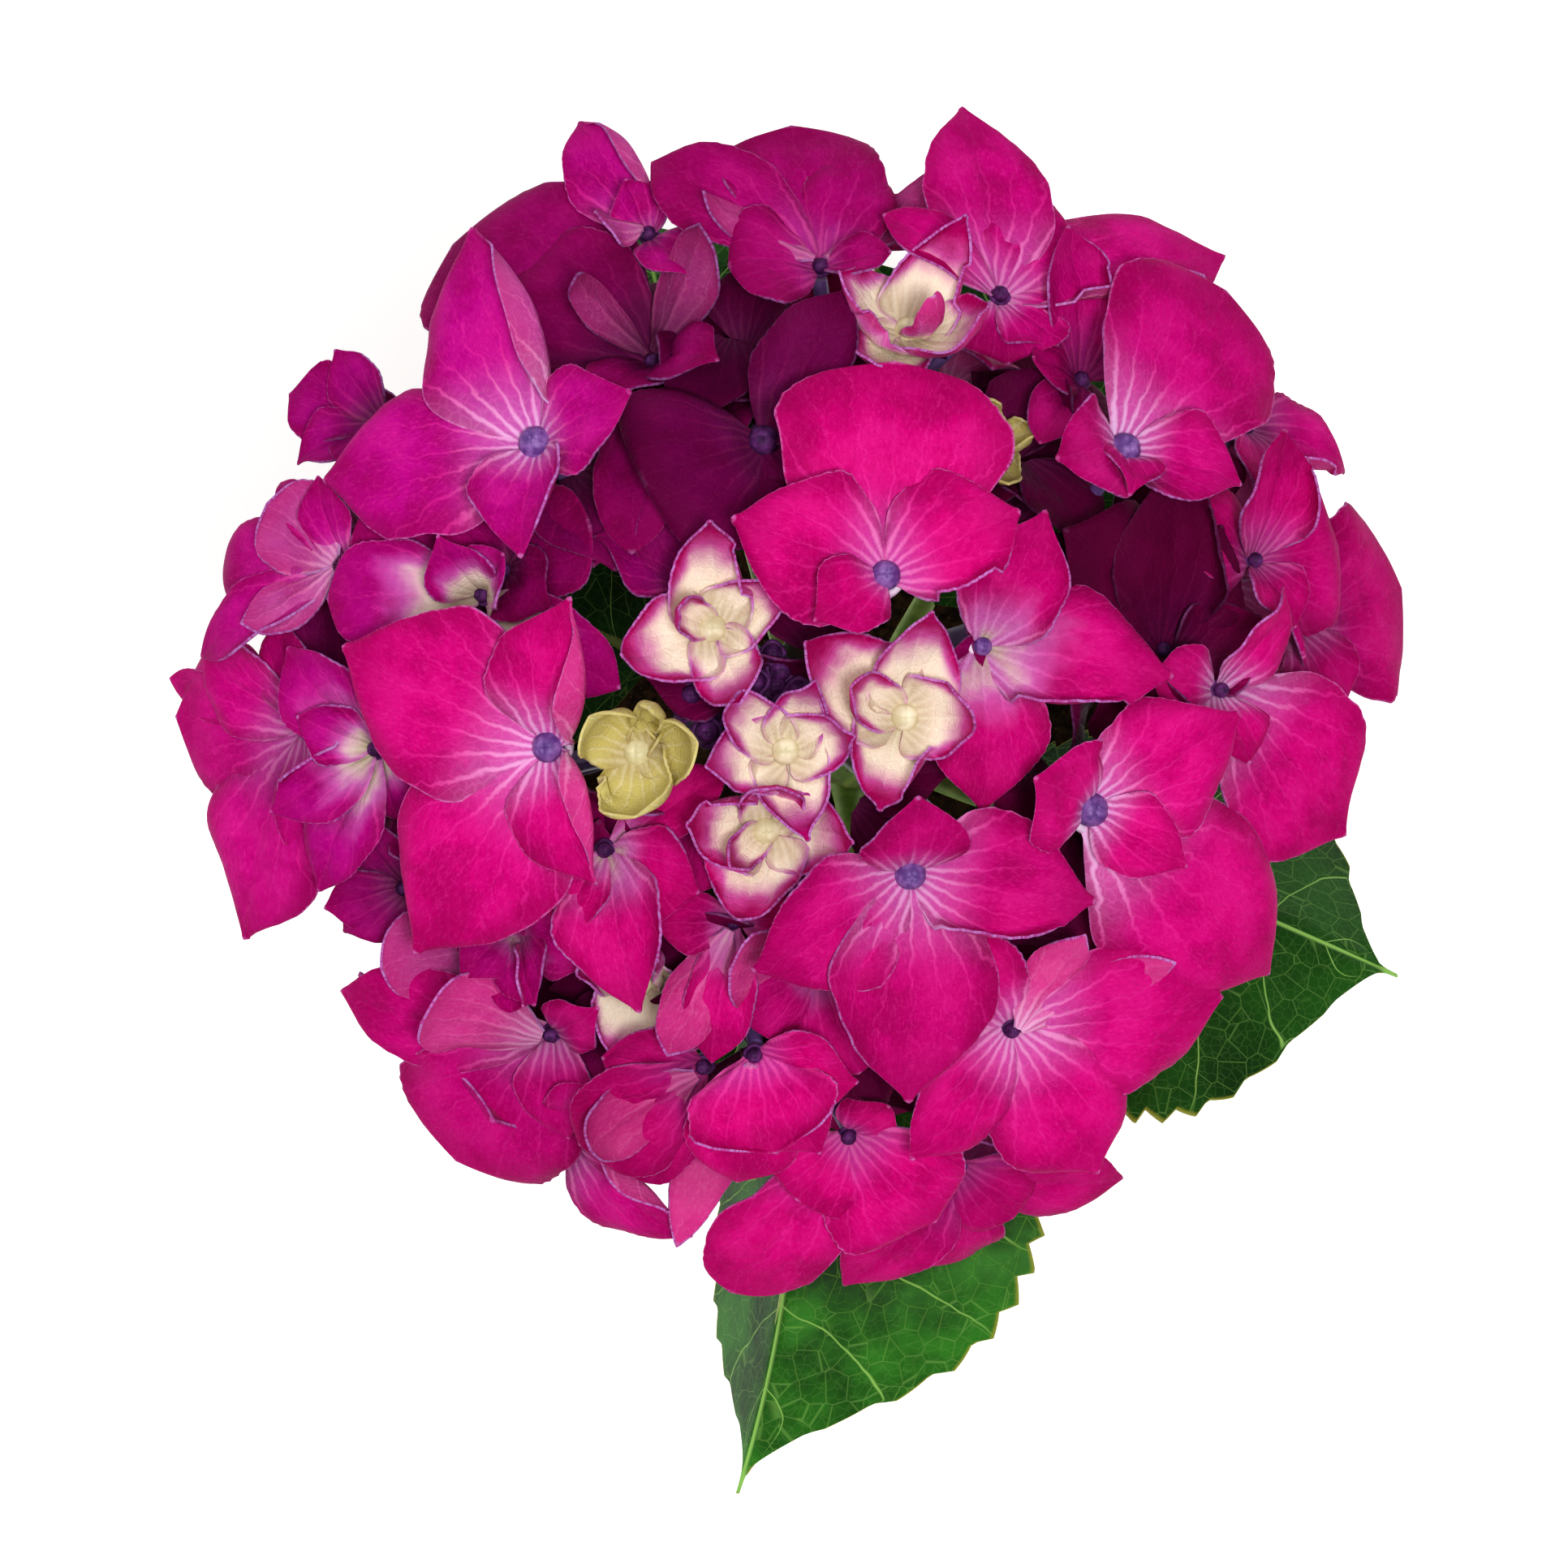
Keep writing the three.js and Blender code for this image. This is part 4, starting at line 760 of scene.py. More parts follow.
def sepal_colours(tree, p, crimson, plum, pale, deep, glow, throat, edge):
    """Lays the blotches, veins, throat, rim and painted shade over a sepal's ground colour."""
    ground = blend(tree, p["purple"], crimson, plum)
    blotch = grain(tree, 130, 3, 0.6)
    speck = grain(tree, 2.6, 4, 0.75, p["plan"], (0.5, 1, 1))
    ground = blend(tree, ramp(tree, blotch, 0.46, 0.66, 0.0, 0.16), ground, pale)
    ground = blend(tree, ramp(tree, blotch, 0.55, 0.3, 0.0, 0.5), ground, deep)
    ground = blend(tree, ramp(tree, speck, 0.5, 0.7, 0.0, 0.34), ground, pale)
    ground = blend(tree, ramp(tree, speck, 0.46, 0.3, 0.0, 0.34), ground, deep)
    ground = blend(tree, ramp(tree, p["along"], 0.5, 0.0, 0.0, 0.5), ground, glow)
    # The ground deepens towards the edges and tip: partly the sepal's own deeper colour, partly painted
    # shade.
    verge = sums(tree, "MAXIMUM", ramp(tree, p["across"], 0.5, 1.0), ramp(tree, p["along"], 0.6, 1.0))
    ground = blend(tree, sums(tree, "MULTIPLY", verge, 0.55), ground, deep)
    # The veins are palest near the throat, which is streaked with white.
    near = ramp(tree, p["along"], 0.0, 0.75, 0.62, 0.16)
    veins = sums(tree, "MAXIMUM", p["vein"], sums(tree, "MULTIPLY", p["branch"], 0.5))
    veins = sums(tree, "MAXIMUM", veins, sums(tree, "MULTIPLY", p["net"], 0.16))
    ground = blend(tree, sums(tree, "MULTIPLY", veins, near), ground, pale)
    white = ramp(tree, p["along"], 0.0, 0.42, 1.0, 0)
    rays = sums(tree, "ADD", sums(tree, "MULTIPLY", veins, 0.75), 0.25)
    white = sums(tree, "MULTIPLY", sums(tree, "MULTIPLY", white, rays), p["throat"])
    ground = blend(tree, white, ground, throat)
    # Cream or lime spreads out from the base, with lilac at its border.
    margin = sums(tree, "MULTIPLY", p["across"], ramp(tree, p["along"], 0.12, 0.5, 0.45, 0.95))
    spread = sums(tree, "MAXIMUM", p["along"], margin)
    spread = sums(tree, "SUBTRACT", p["cream"], spread)
    spread = sums(tree, "ADD", spread, sums(tree, "MULTIPLY", sums(tree, "SUBTRACT", blotch, 0.5), 0.5))
    milk = sums(tree, "MULTIPLY", ramp(tree, spread, -0.12, 0.2), ramp(tree, p["cream"], 0.02, 0.1))
    lilac = sums(tree, "MULTIPLY", ramp(tree, spread, -0.34, 0.02), ramp(tree, p["cream"], 0.02, 0.1))
    ground = blend(tree, sums(tree, "MULTIPLY", lilac, 0.6), ground, paint("cf7cc4"))
    lime = blend(tree, ramp(tree, p["cream"], 0.9, 1.1), paint("f0e2cc"), paint("d2c57e"))
    # Painted shade: the cream darkens to tan at the very base, down in the floret's cup.
    lime = blend(tree, ramp(tree, p["along"], 0.34, 0.05, 0.0, 0.7), lime, paint("b09c78"))
    lime = blend(tree, sums(tree, "MULTIPLY", veins, 0.25), lime, paint("f6f2de"))
    ground = blend(tree, milk, ground, lime)
    # A thin pale line runs round the rim, except where it is cream: the sepal's own pale edge, broken by
    # noise into painted highlight glints.
    rim_line_and_glint = sums(tree, "MULTIPLY", p["rim"], ramp(tree, speck, 0.4, 0.6, 0.1, 0.7))
    rim_line_and_glint = sums(tree, "MULTIPLY", rim_line_and_glint, sums(tree, "SUBTRACT", 1.0, sums(tree, "MULTIPLY", milk, 0.9)))
    ground = blend(tree, rim_line_and_glint, ground, edge)
    # Painted shade: the tint's shade darkens the sepal towards deep plum where it lies in shadow.
    shadow = sums(tree, "MULTIPLY", p["shade"], 0.88)
    return blend(tree, shadow, ground, paint("3c0428"))


def sepal_finish(name, colours, roughness, depth):
    material, tree, shader = finish_named(name, roughness, 0.03)
    pattern = sepal_pattern(tree)
    colour = sepal_colours(tree, pattern, *[paint(code) for code in colours.split()])
    tree.links.new(colour, shader.inputs["Base Color"])
    ridge = sums(tree, "ADD", pattern["vein"], sums(tree, "MULTIPLY", pattern["branch"], 0.6))
    ridge = sums(tree, "ADD", ridge, sums(tree, "MULTIPLY", pattern["net"], 0.5))
    cells = grain(tree, 2.2, 3, 0.6, pattern["plan"])
    relief(tree, shader, sums(tree, "ADD", sums(tree, "MULTIPLY", ridge, depth), cells), 0.35, 0.00022)
    return material


# The paint codes: crimson, plum, pale blotches and veins, deep blotches and edges, glow by the throat,
# throat, rim line and its painted glints.
sepal_face = sepal_finish("sepal_face", "cc0074 b0048c f03aa4 8e004c c040b4 e4c0e6 cc80c0", 0.5, -1.0)
sepal_underside = sepal_finish("sepal_underside",
                               "d83c8c a84c98 f080b8 b82c78 c86cb0 e4c4e2 c98fc4", 0.6, 1.0)
sepal_rim = sepal_finish("sepal_rim", "bc2e88 a04aa0 cc78bc a02c80 b870b8 e6ccea c090d0", 0.5, 0.0)

eye_skin, tree, shader = finish_named("eye_skin", 0.5, 0.4)
bloom_dust = grain(tree, 700, 4, 0.6)
skin = blend(tree, ramp(tree, bloom_dust, 0.35, 0.7), paint("5e3a80"), paint("926cae"))
tree.links.new(skin, shader.inputs["Base Color"])
relief(tree, shader, bloom_dust, 0.4, 0.0002)
eye_collar, tree, shader = finish_named("eye_collar", 0.5, 0.4)
skin = blend(tree, ramp(tree, grain(tree, 500, 3), 0.3, 0.7), paint("c9a4cc"), paint("e2cfe0"))
tree.links.new(skin, shader.inputs["Base Color"])
OPEN_FINISHES = (sepal_face, sepal_underside, sepal_rim, eye_skin, eye_collar)

dome_florets("crown_floret", CROWN, OPEN_FINISHES, (2.25, 2.0, 1.9, 2.1, 2.2, 2.0, 1.2))

# ---- Young florets ----
# The unripe florets in the middle of the head: small cups of thick sepals, still cream or lime inside,
# with magenta only at their edges and tips, round a cream bud split in four.
YOUNG = [
    (-9.7, 8, 9, (0.05, 0, 0.53, 0.5), [
        (-21, 4.5, 1, 13.3, 0.9, -0.4, 14, 1.0), (-9.9, 20.8, 4, 11.9, 0.8, -0.4, 14, 1.15),
        (-1.2, 12.5, 0.5, 10.9, 0.9, -0.3, 14, 1.15), (-6.8, -0.9, 1, 9, 1, 0, 14, 0.5),
        (-13.7, 10.3, 1, 5.7, 0.9, 0.8, 10, 0.4)]),
    (-0.6, -7.3, 8, (0.3, 0, 0.58, 0.5), [
        (-10.2, -9.1, 1, 10, 0.9, -0.3, 14, 1.05), (1.7, -17.8, 1, 11.4, 0.8, -0.3, 14, 1.15),
        (7.3, -5.9, 2, 9, 0.9, -0.2, 14, 1.05), (3, 0.3, 3, 7.6, 0.9, 0, 14, 1.05),
        (-7.4, -0.7, 3, 8.1, 0.9, 0, 14, 0.8)]),
    (14.2, -3.1, 8, (0, 0, 0.53, 0.5), [
        (2.2, 6, 4, 13.3, 0.8, -0.3, 14, 1.05), (17.7, 9.3, 4, 11.9, 0.8, -0.3, 14, 1.1),
        (22.7, -3.7, 4, 11.4, 0.8, -0.2, 14, 1.0), (11.1, -14.2, 2, 13.3, 0.8, -0.3, 14, 1.15),
        (7.7, 0.5, 2, 7.1, 0.9, 0.9, 10, 0.4)]),
    (-3, -17.2, 10, (0, 0, 0.52, 0.5), [
        (-12.4, -16.5, 1, 12.8, 0.9, -0.2, 14, 0.95), (7.3, -18.9, 1, 11.4, 0.8, -0.3, 14, 1.1),
        (-6.4, -28.5, 1, 13.3, 0.8, -0.2, 14, 1.0), (-1.4, -12, 0, 9, 0.9, 0.3, 14, 0.5),
        (-7.1, -21.4, 0, 5.7, 0.9, 0.8, 10, 0.4)]),
    (-19.1, -7.4, 10, (0.6, 0, 1.3, 0.5), [
        (-19.3, -15.3, 2, 11.9, 1, 0.4, 0, 0.4), (-24.1, -4, 2, 10, 1, 0.4, 10, 0.4),
        (-12.6, -6.6, 3, 9.5, 1, 0.5, 0, 0.42), (-17.4, -1.8, 3, 5.7, 1.1, 0.8, 0, 0.45)]),
    (14.9, 45.9, 11, (0.1, 0, 0.53, 0.5), [
        (22.1, 60, 6, 12.3, 0.8, 0, 12, 1.1), (6.7, 52.9, 4, 13.3, 0.8, -0.2, 12, 1.0),
        (24, 46.9, 4, 11.4, 0.9, 0.1, 12, 0.55), (10.9, 41.2, 1, 10, 1, 0.3),
        (18.3, 49, 2, 5.7, 0.9, 0.9, 10, 0.4)]),
    (-19.1, -36.5, 15, (0.25, 0, 0.6, 0.5), [
        (-25, -32.3, -5, 10.4, 1.1, 0.4, 10, 0.45), (-22.6, -45.6, -6, 12.3, 0.9, -0.1, 10, 0.7),
        (-11.2, -44.5, -6, 10.4, 0.9, -0.1, 10, 0.65), (-18.1, -31.8, -8, 8.5, 1, 0.4)]),
    (25.8, 32.3, 16, (0.6, 0, 1.3, 0.5), [
        (24.6, 36.7, -8, 6.6, 1.1, 0.5), (27.4, 26.4, -8, 6.2, 1.1, 0.5), (30.5, 32.9, -8, 6.2, 1.1, 0.5)]),
]
YOUNG_EYE_RADIUS = 1.8
young_eye, tree, shader = finish_named("young_eye", 0.5, 0.4)
skin = blend(tree, ramp(tree, grain(tree, 500, 3), 0.35, 0.7), paint("cfc7a0"), paint("ece6c8"))
tree.links.new(skin, shader.inputs["Base Color"])
relief(tree, shader, grain(tree, 900, 3), 0.3, 0.0002)
YOUNG_FINISHES = (sepal_face, sepal_underside, sepal_rim, young_eye, young_eye)
dome_florets("young_floret", YOUNG, YOUNG_FINISHES, [YOUNG_EYE_RADIUS] * len(YOUNG))

# ---- Back florets ----
# The florets behind the crown.  Many of their sepals stand on edge, in purple and plum.
BACK = [
    (-3.3, 31.6, 10, (0.7, 0.9, 0, 0.15), [
        (-18.4, 26.6, -3, 23.2, 0.3, -0.3, 0, 0.4), (7.1, 50.6, -2, 11.9, 0.5, 0.2, 15, 0.65, 0.2, 1.2),
        (1.2, 26.6, -8, 7.6), (-5.1, 22.4, -8, 9.5), (1.2, 34.4, -7, 3.8, 0.5, 0.3)]),
    (3.8, 54.2, 9, (0.45, 0.4, 0, 0.15), [
        (0.1, 72.5, -5, 19.4, 0.4, -0.2, 0, 0.4), (9.8, 68.3, -6, 11.4, 0.3, 0.1, 10, 0.5),
        (-17.7, 68.3, -1, 12.3, 0.7, 0.3, -15, 0.55), (-11.2, 63.1, 1, -4.6, 0.5, 0.2, 0, 0.7),
        (13.1, 55.5, 0, 5.7, 0.9, 0.5, 40, 0.6), (22.5, 69.2, -3, -5.2, 0.6, 0.3, 0, 0.55),
        (-7.1, 54.8, -4, 14.2, 0.5, 0.1, 0, 0.42)]),
    (26.7, 50.8, 9, (0.3, 0.1, 0, 0.5), [
        (22.1, 75.6, 2, 15.7, 0.5, 0.2, 0, 0.78, -0.5, -0.2),
        (55.9, 56.4, -3, 16.1, 0.3, -0.2, 0, 0.7, -0.4, 1.6),
        (11.7, 60.5, -3, 7.6, 0.8, 0.4, 0, 0.5), (27.7, 42.2, -10, 15.7, 0.5, 0.2, 0, 0.45),
        (33.9, 44.3, -9, 11.4, 0.5, 0.2),
        (33.9, 63.1, -4, 12.3, 0.3, -0.2)]),
    (-18.1, 58.9, 12, (0.75, 0.15, 0, 0.3), [
        (-27.2, 74.3, 0, 12.3, 0.5, 0.3, 0, 0.75, -0.3, 2.3), (-24.8, 61.2, -2, -6.6, 0.7, 0.4, 0, 0.6),
        (-14.4, 66.8, -4, 5.7, 0.8, 0.5), (-12.6, 53.2, -6, 7.6, 0.6, 0.3),
        (-21.2, 65.7, -3, 7.6, 0.5, 0.2, 10)]),
    (-17.5, 42.2, 16, (0.55, 0.5, 0, 0.1), [
        (-43.4, 58.3, -5, 25.1, 0.3, -0.2, 0, 0.42), (-27.4, 52.7, 1, -4.9, 0.9, 0.9, 0, 0.5),
        (-11, 59.1, 2, -7.8, 0.8, 0.5, 0, 0.6), (-34.7, 54.8, -8, 18, 0.3, -0.2, 0, 0.42),
        (-9.7, 42.2, -4, 9.5, 0.6, 0.3), (-19.7, 17.1, -8, 9.5, 0.4, 0.2, 0, 0.5),
        (-23.8, 37, -5, 9.5, 0.5, 0.3)]),
    (37.1, 40.2, 15, (0.3, 0.25, 0, 0.1), [
        (35.2, 59.5, -1, 10.9, 0.7, 0.3, 0, 0.6, 0.2, 1.4), (31.3, 30.8, -7, 7.6, 0.8, 0.5, 30),
        (44.9, 50.6, -6, 9.5, 0.4, 0), (30.3, 42.2, -8, 8.5, 0.5, 0.2)]),
]
plum_eye, tree, shader = finish_named("plum_eye", 0.6, 0.2)
skin = blend(tree, ramp(tree, grain(tree, 700, 4, 0.6), 0.35, 0.7), paint("3c1644"), paint("6a3272"))
tree.links.new(skin, shader.inputs["Base Color"])
CROWDED_FINISHES = (sepal_face, sepal_underside, sepal_rim, plum_eye, plum_eye)
CROWDED_EYES = [1.0] * 10
dome_florets("back_floret", BACK, CROWDED_FINISHES, [2.0] + CROWDED_EYES)

# ---- Right florets ----
# The florets down the right flank, in hot crimson pink.
RIGHT = [
    (47.5, 5.7, 17, (0, 1, 0, 0), [
        (47.7, 29, -3, 19, 0.5, 0.3, 0, 0.65, -0.3, 1.7), (35, 20.3, -5, 20.4, 0.5, 0.2, 0, 0.5),
        (42.3, -3.1, -11, 10.4),
        (54.7, 21.4, -9, 14.2)]),
    (54.7, 0.5, 11, (0.1, 0.05, 0, 0.8), [
        (70.9, -18, -4, 23.7, 0.3, -0.3, 0, 0.5), (63.1, 13, -3, 9.5, 0.8, 0.4, 40), (45.5, 2, -9, 9.5),
        (57.9, -8.9, -6, 12.3, 0.4, 0)]),
    (59.4, 17.2, 12, (0.12, 0.2, 0, 0.3), [
        (62.8, 33.7, 1, 15.7, 0.7, 0.3, 0, 0.6, 0.3, 1.5), (70.8, 19.3, -6, 19.9, 0.3, -0.3, 0, 0.42),
        (64.5, 8.9, -6, 10.4, 0.7, 0.2), (50, 22.4, -9, 13.3)]),
    (65.1, 8.9, 16, (0.1, 0, 0, 0.5), [
        (79.8, 14.1, -10, 22.8, 0.3, -0.3, 0, 0.42), (71, -3, -12, 13.3), (67, 22.9, -14, 11.4)]),
    (58.9, 34.9, 14, (0.3, 0, 0, 0.4), [
        (72.6, 29.7, -8, 14.2, 0.4, -0.3, 0, 0.7, -0.3, 1.4), (60.9, 25.6, -9, 7.6), (52, 43, -12, 9.5)]),
]
dome_florets("right_floret", RIGHT, CROWDED_FINISHES, CROWDED_EYES)

# ---- Left florets ----
# The florets down the left flank, in purple and plum, two of them with cream throats.
LEFT = [
    (-38.9, 12.5, 12, (0.85, 0.1, 0.42, 0.5), [
        (-58.6, 12.2, -3, 12.8, 0.6, 0, 0, 0.45), (-44.1, 18.9, -2, 9.5, 0.8, 0.3, 0, 0.55, 0.6, 0.2),
        (-35.7, 17.4, -5, 9.5, 0.8, 0.3), (-21.2, 0.5, -9, 9.5, 0.3)]),
    (-36.3, 15.6, 15, (0.6, 0.35, 0, 0.3), [
        (-55.8, 19.1, -6, 13.3, 0.4, 0, 0, 0.42), (-24.8, 20.9, -9, 13.3, 0.3, 0, 0, 0.42),
        (-30.5, 11, -8, 10.4, 0.4, 0), (-43, 22.4, -5, 8.5, 0.5, 0.2)]),
    (-56.7, 16.2, 9, (0.7, 0.15, 0, 0.4), [
        (-66.4, 24.3, -1, -11.4, 0.5, 0.1, 0, 0.42), (-76, 5.1, -3, 8.1, 0.5, 0.2, 0, 0.6, 0.8, -0.2),
        (-73.6, 17.2, -5, 10.4, 0.3, 0, 0, 0.42), (-69.7, 8.9, -1, -6.5, 0.5, 0.2, 0, 0.5),
        (-60.2, 27.6, -3, 6.6, 0.6, 0.4), (-65.4, 27.6, -5, 4.7, 0.9, 0.8, 30)]),
    (-52.6, -7, 10, (0.8, 0.15, 0.3, 0.5), [
        (-65.7, -15.1, -2, 10.4, 0.6, 0.2, 0, 0.7, -0.2, 1.6), (-64, 5.7, -3, 11.4, 0.9, 0.4, 0, 0.6),
        (-59.9, -25, -6, 10.4, 0.4, 0, 0, 0.7), (-49.3, -16.2, -11, 9.5),
        (-62.3, -2.6, -3, 8.5, 0.8, 0.4)]),
    (-62.6, -4.2, 13, (0.4, 0, 0, 0.5), [
        (-79.2, -2.6, -8, 18, 0.3, -0.3, 0, 0.45), (-70.4, -31.4, -6, 20.4, 0.3, -0.3, 0, 0.7, -0.6, -0.3),
        (-80.1, 2.4, -9, 5.7, 0.4, 0.2), (-76, 5.7, -5, 11.4, 0.5, 0.2, 0, 0.6),
        (-64.9, 9.9, -9, 10.4, 0.5, 0.2), (-60.2, -23.5, -9, 8.5)]),
    (-34.7, -32.3, 15, (0.55, 0.05, 0.25, 0.5), [
        (-51.8, -34.4, -7, -11.4, 0.3, 0, 0, 0.42), (-41.5, -26.6, -6, 10.4, 0.5, 0.2),
        (-27.2, -28.7, -6, 10.4, 0.6, 0.3, 0, 0.5), (-33.1, -39.3, -5, 8.5, 0.9, 0.9, 30, 0.5),
        (-39.9, -40.2, -9, 11.4)]),
    (-28.5, -56.8, 14, (0.35, 0, 0, 0.5), [
        (-13, -69.8, -7, 15.7, 0.3, -0.2, 0, 0.7, 1.6, -0.3), (-33.7, -58.9, -10, 12.3),
        (-19.1, -57.9, -10, 9.5), (-24.3, -49.5, -8, 9.5, 0.5, 0.2)]),
    (-52.4, 34.9, 14, (0.85, 0.3, 0, 0.3), [
        (-64.6, 38.9, -6, 10.4, 0.4, 0, 0, 0.5, 0.4, 0.4), (-58.1, 44.3, -6, 7.6, 0.6, 0.4),
        (-63.3, 30.2, -7, 8.5, 0.6, 0.5), (-55.5, 27.6, -8, 9.5, 0.5, 0.3)]),
    (-30.5, -43.3, 14, (0.25, 0, 0, 0.5), [
        (-43, -59.8, -8, 22.8, 0.3, -0.2, 0, 0.42), (-57.8, -38.3, -8, 12.8, 0.4, -0.2, 0, 0.6, 0.2, -0.4),
        (-46.7, -41, -1, -12.3, 0.4, 0.1, 0, 0.42), (-28.5, -56.6, -9, 10.4, 0.4, 0.1),
        (-24.8, -40.2, -8, 7.6, 0.5, 0.3)]),
    (-49.3, -24.7, 15, (0.7, 0.3, 0, 0.3), [
        (-59.3, -27.1, -8, 7.6, 0.5, 0.2), (-57.1, -30.2, -9, 8.5, 0.4, 0.1),
        (-55.5, -15.1, -9, 9.5, 0.5, 0.2),
        (-49.3, -33.9, -11, 9.5)]),
]
dome_florets("left_floret", LEFT, CROWDED_FINISHES, CROWDED_EYES)

# ---- Front florets ----
# The florets down the front, crimson, with several folded so that their veined undersides show.
FRONT = [
    (-23.3, -19.7, 9, (0.1, 0.1, 0.12, 0.5), [
        (-19.1, -39.8, -1, 15.7, 0.5, 0.5, 0, 0.75, 0.6, 0.6), (-8.1, -10.4, -10, 7.1, 0.6, 0.4, -30, 0.5),
        (-11.8, -25, -6, 12.3, 0.4, 0.1, 0, 0.5), (-29.5, -29.7, -4, 7.6, 0.6, 0.3)]),
    (-34.7, -28.7, 14, (0.6, 0.25, 0.2, 0.5), [
        (-25.5, -28.5, -7, 8.5, 0.5, 0.2), (-32.1, -39.3, -5, 8.5, 0.8, 0.4),
        (-41.5, -35.7, -6, 8.5, 0.8, 0.3)]),
    (-11, -47.2, 11, (0.05, 0.35, 0, 0.1), [
        (-26.6, -57.4, -3, 14.2, 0.9, 0.5, 0, 0.45), (-25.5, -57.2, 1, -8.3, 0.4, 0, 0, 0.42),
        (-22.2, -59.8, -6, 12.3, 0.8, 0.5, 0, 0.42), (-23.8, -45.4, -6, 11.4, 0.8, 0.5, 0, 0.5)]),
    (-4.5, -45.6, 9, (0.06, 0, 0, 0.15), [
        (-1.9, -57.7, 0, 19, 0.4, 1.3, 0, 0.42), (8.2, -49, -3, 11.4, 0.5, 0.3, 0, 0.55),
        (-6.8, -62.3, -5, 13.3, 0.3, 0.1, 0, 0.5), (-14.4, -69.7, -4, -7.1, 0.5, 0.1, 0, 0.6),
        (3.8, -57.9, -5, 12.3, 0.4, 0.1)]),
    (7.4, -56.3, 11, (0.04, 0, 0, 0.25), [
        (-7.7, -76.5, -4, 14.2, 0.4, -0.2, 0, 0.42), (18.3, -67.3, -1, 20.4, 0.3, -0.2, 0, 0.45),
        (12.5, -51.6, -8, 8.5), (0.7, -64.1, -5, 14.2, 0.3, -0.1, 0, 0.42)]),
    (21.5, -61, 14, (0.08, 0.05, 0, 0.15), [
        (6.9, -76, -7, 12.3, 0.4, -0.1, 0, 0.6), (43, -62.6, -8, 11.4, 0.4, -0.2, 0, 0.6),
        (15.2, -73.7, -9, 19, 0.3, -0.2, 0, 0.42), (28.7, -67.3, -9, 12.3, 0.3, -0.1, 0, 0.42)]),
    (28, -42.5, 8, (0.08, 0, 0, 0.6), [
        (39.1, -60.7, 0, 18, 0.4, -0.2, 0, 0.55), (15.2, -58.6, 0, 14.2, 0.4, -0.2, 0, 0.7),
        (54.8, -38.3, -3, 19.4, 0.3, -0.2, 0, 0.5), (37.1, -30.8, -2, -6.6, 0.7, 0.3),
        (18.3, -30.8, -5, 13.3, 0.4, 0.1, 0, 0.5),
        (48.5, -33.9, -1, -5.7, 0.6, 0.3, 0, 0.6)]),
    (3.6, -33.9, 14, (0.25, 0.1, 0.12, 0.4), [
        (-7.4, -34.9, -5, -10.4, 0.3, 0, 0, 0.42), (-6.1, -40.7, -8, 10.4, 0.3, -0.1, 0, 0.45),
        (8.5, -47.8, -7, 12.3, 0.3, -0.1, 0, 0.45)]),
    (-7.1, -28.7, 12, (0.12, 0.1, 0.1, 0.3), [
        (-15.5, -45.4, -1, -7.1, 0.6, 0.3, 0, 0.55), (-9.9, -46.4, -6, 8.5, 0.6, 0.3), (2, -27.6, -9, 8.5),
        (-17, -28.7, -8, 7.6)]),
]
dome_florets("front_floret", FRONT, CROWDED_FINISHES, CROWDED_EYES)

# ---- Inner sepals ----
# The folded sepals of stunted florets between and under the open ones, darkened with painted shade, and a
# patch of plum buds in the middle.  They fill the head and hide the forks of the stalks.
# A row: foot x, y, depth below the dome, tip x, y, lift, width, how purple, how much painted shade.
INNER = [
    (-12, 14, 13, -24, 20, -8, 13, 0.8, 0.45), (-10, 13, 14, -18, 26, -9, 12, 0.8, 0.5),
    (-6, 1, 13, -18, 2, -10, 12, 0.4, 0.75), (-5, 2, 14, 3, 4, -10, 11, 0.4, 0.8),
    (-8, -2, 14, -14, 8, -11, 12, 0.5, 0.7), (4, 4, 14, 1, 18, -10, 11, 0.4, 0.8),
    (-14, -18, 14, -26, -12, -10, 13, 0.3, 0.4), (-10, -14, 14, -14, -26, -9, 13, 0.2, 0.3),
    (8, -14, 15, 18, -20, -12, 13, 0.2, 0.8), (8, -10, 15, 20, -10, -12, 12, 0.2, 0.7),
    (2, -20, 15, 8, -30, -11, 13, 0.2, 0.6), (-28, 28, 15, -22, 16, -9, 14, 0.8, 0.55),
    (30, 30, 16, 38, 18, -12, 13, 0.3, 0.8), (28, 30, 16, 34, 42, -12, 13, 0.5, 0.75),
    (44, 14, 17, 36, 6, -12, 13, 0.2, 0.8), (46, -8, 17, 42, 4, -11, 13, 0.2, 0.75),
    (-8, 46, 16, -14, 34, -12, 15, 0.7, 0.7), (-6, 44, 16, -2, 56, -12, 14, 0.7, 0.6),
    (-30, -42, 17, -18, -46, -13, 13, 0.5, 0.4), (-44, 24, 17, -54, 26, -12, 14, 0.8, 0.5),
    (-46, -12, 17, -42, -24, -12, 15, 0.6, 0.5), (-52, -2, 17, -46, 8, -13, 14, 0.8, 0.5),
    (-58, 0, 18, -60, 14, -13, 13, 0.8, 0.4), (8, -40, 16, 12, -52, -12, 14, 0.2, 0.6),
    (30, -30, 16, 42, -26, -12, 14, 0.2, 0.7), (54, 22, 17, 50, 34, -13, 14, 0.3, 0.7),
    (49, 3, 17, 60, 10, -11, 15, 0.2, 0.5),
]
INNER_COLUMNS, INNER_ROWS = 12, 20
GOLDEN_ANGLE = 2.39996
SHELL_COUNT = 84
SHELL_TOP = 0.62
SHELL_LOW = 1.38
SHELL_RADII = (48, 48, 40)
SHELL_RISE = 12
SHELL_SEPAL = 17
SHELL_LIFT = 7
SHELL_SHAPE = (0.6, 0.2, 0, 0.55)
SHELL_COLUMNS, SHELL_ROWS = 8, 12
BUD_COUNT = 26
BUD_PATCH = (-6.0, -0.5)
BUD_PATCH_RADIUS = 6.5
BUD_TURN = 2.4
BUD_DEPTH = 10
inner_draw = random.Random("inner_sepals")
inner_plates = []
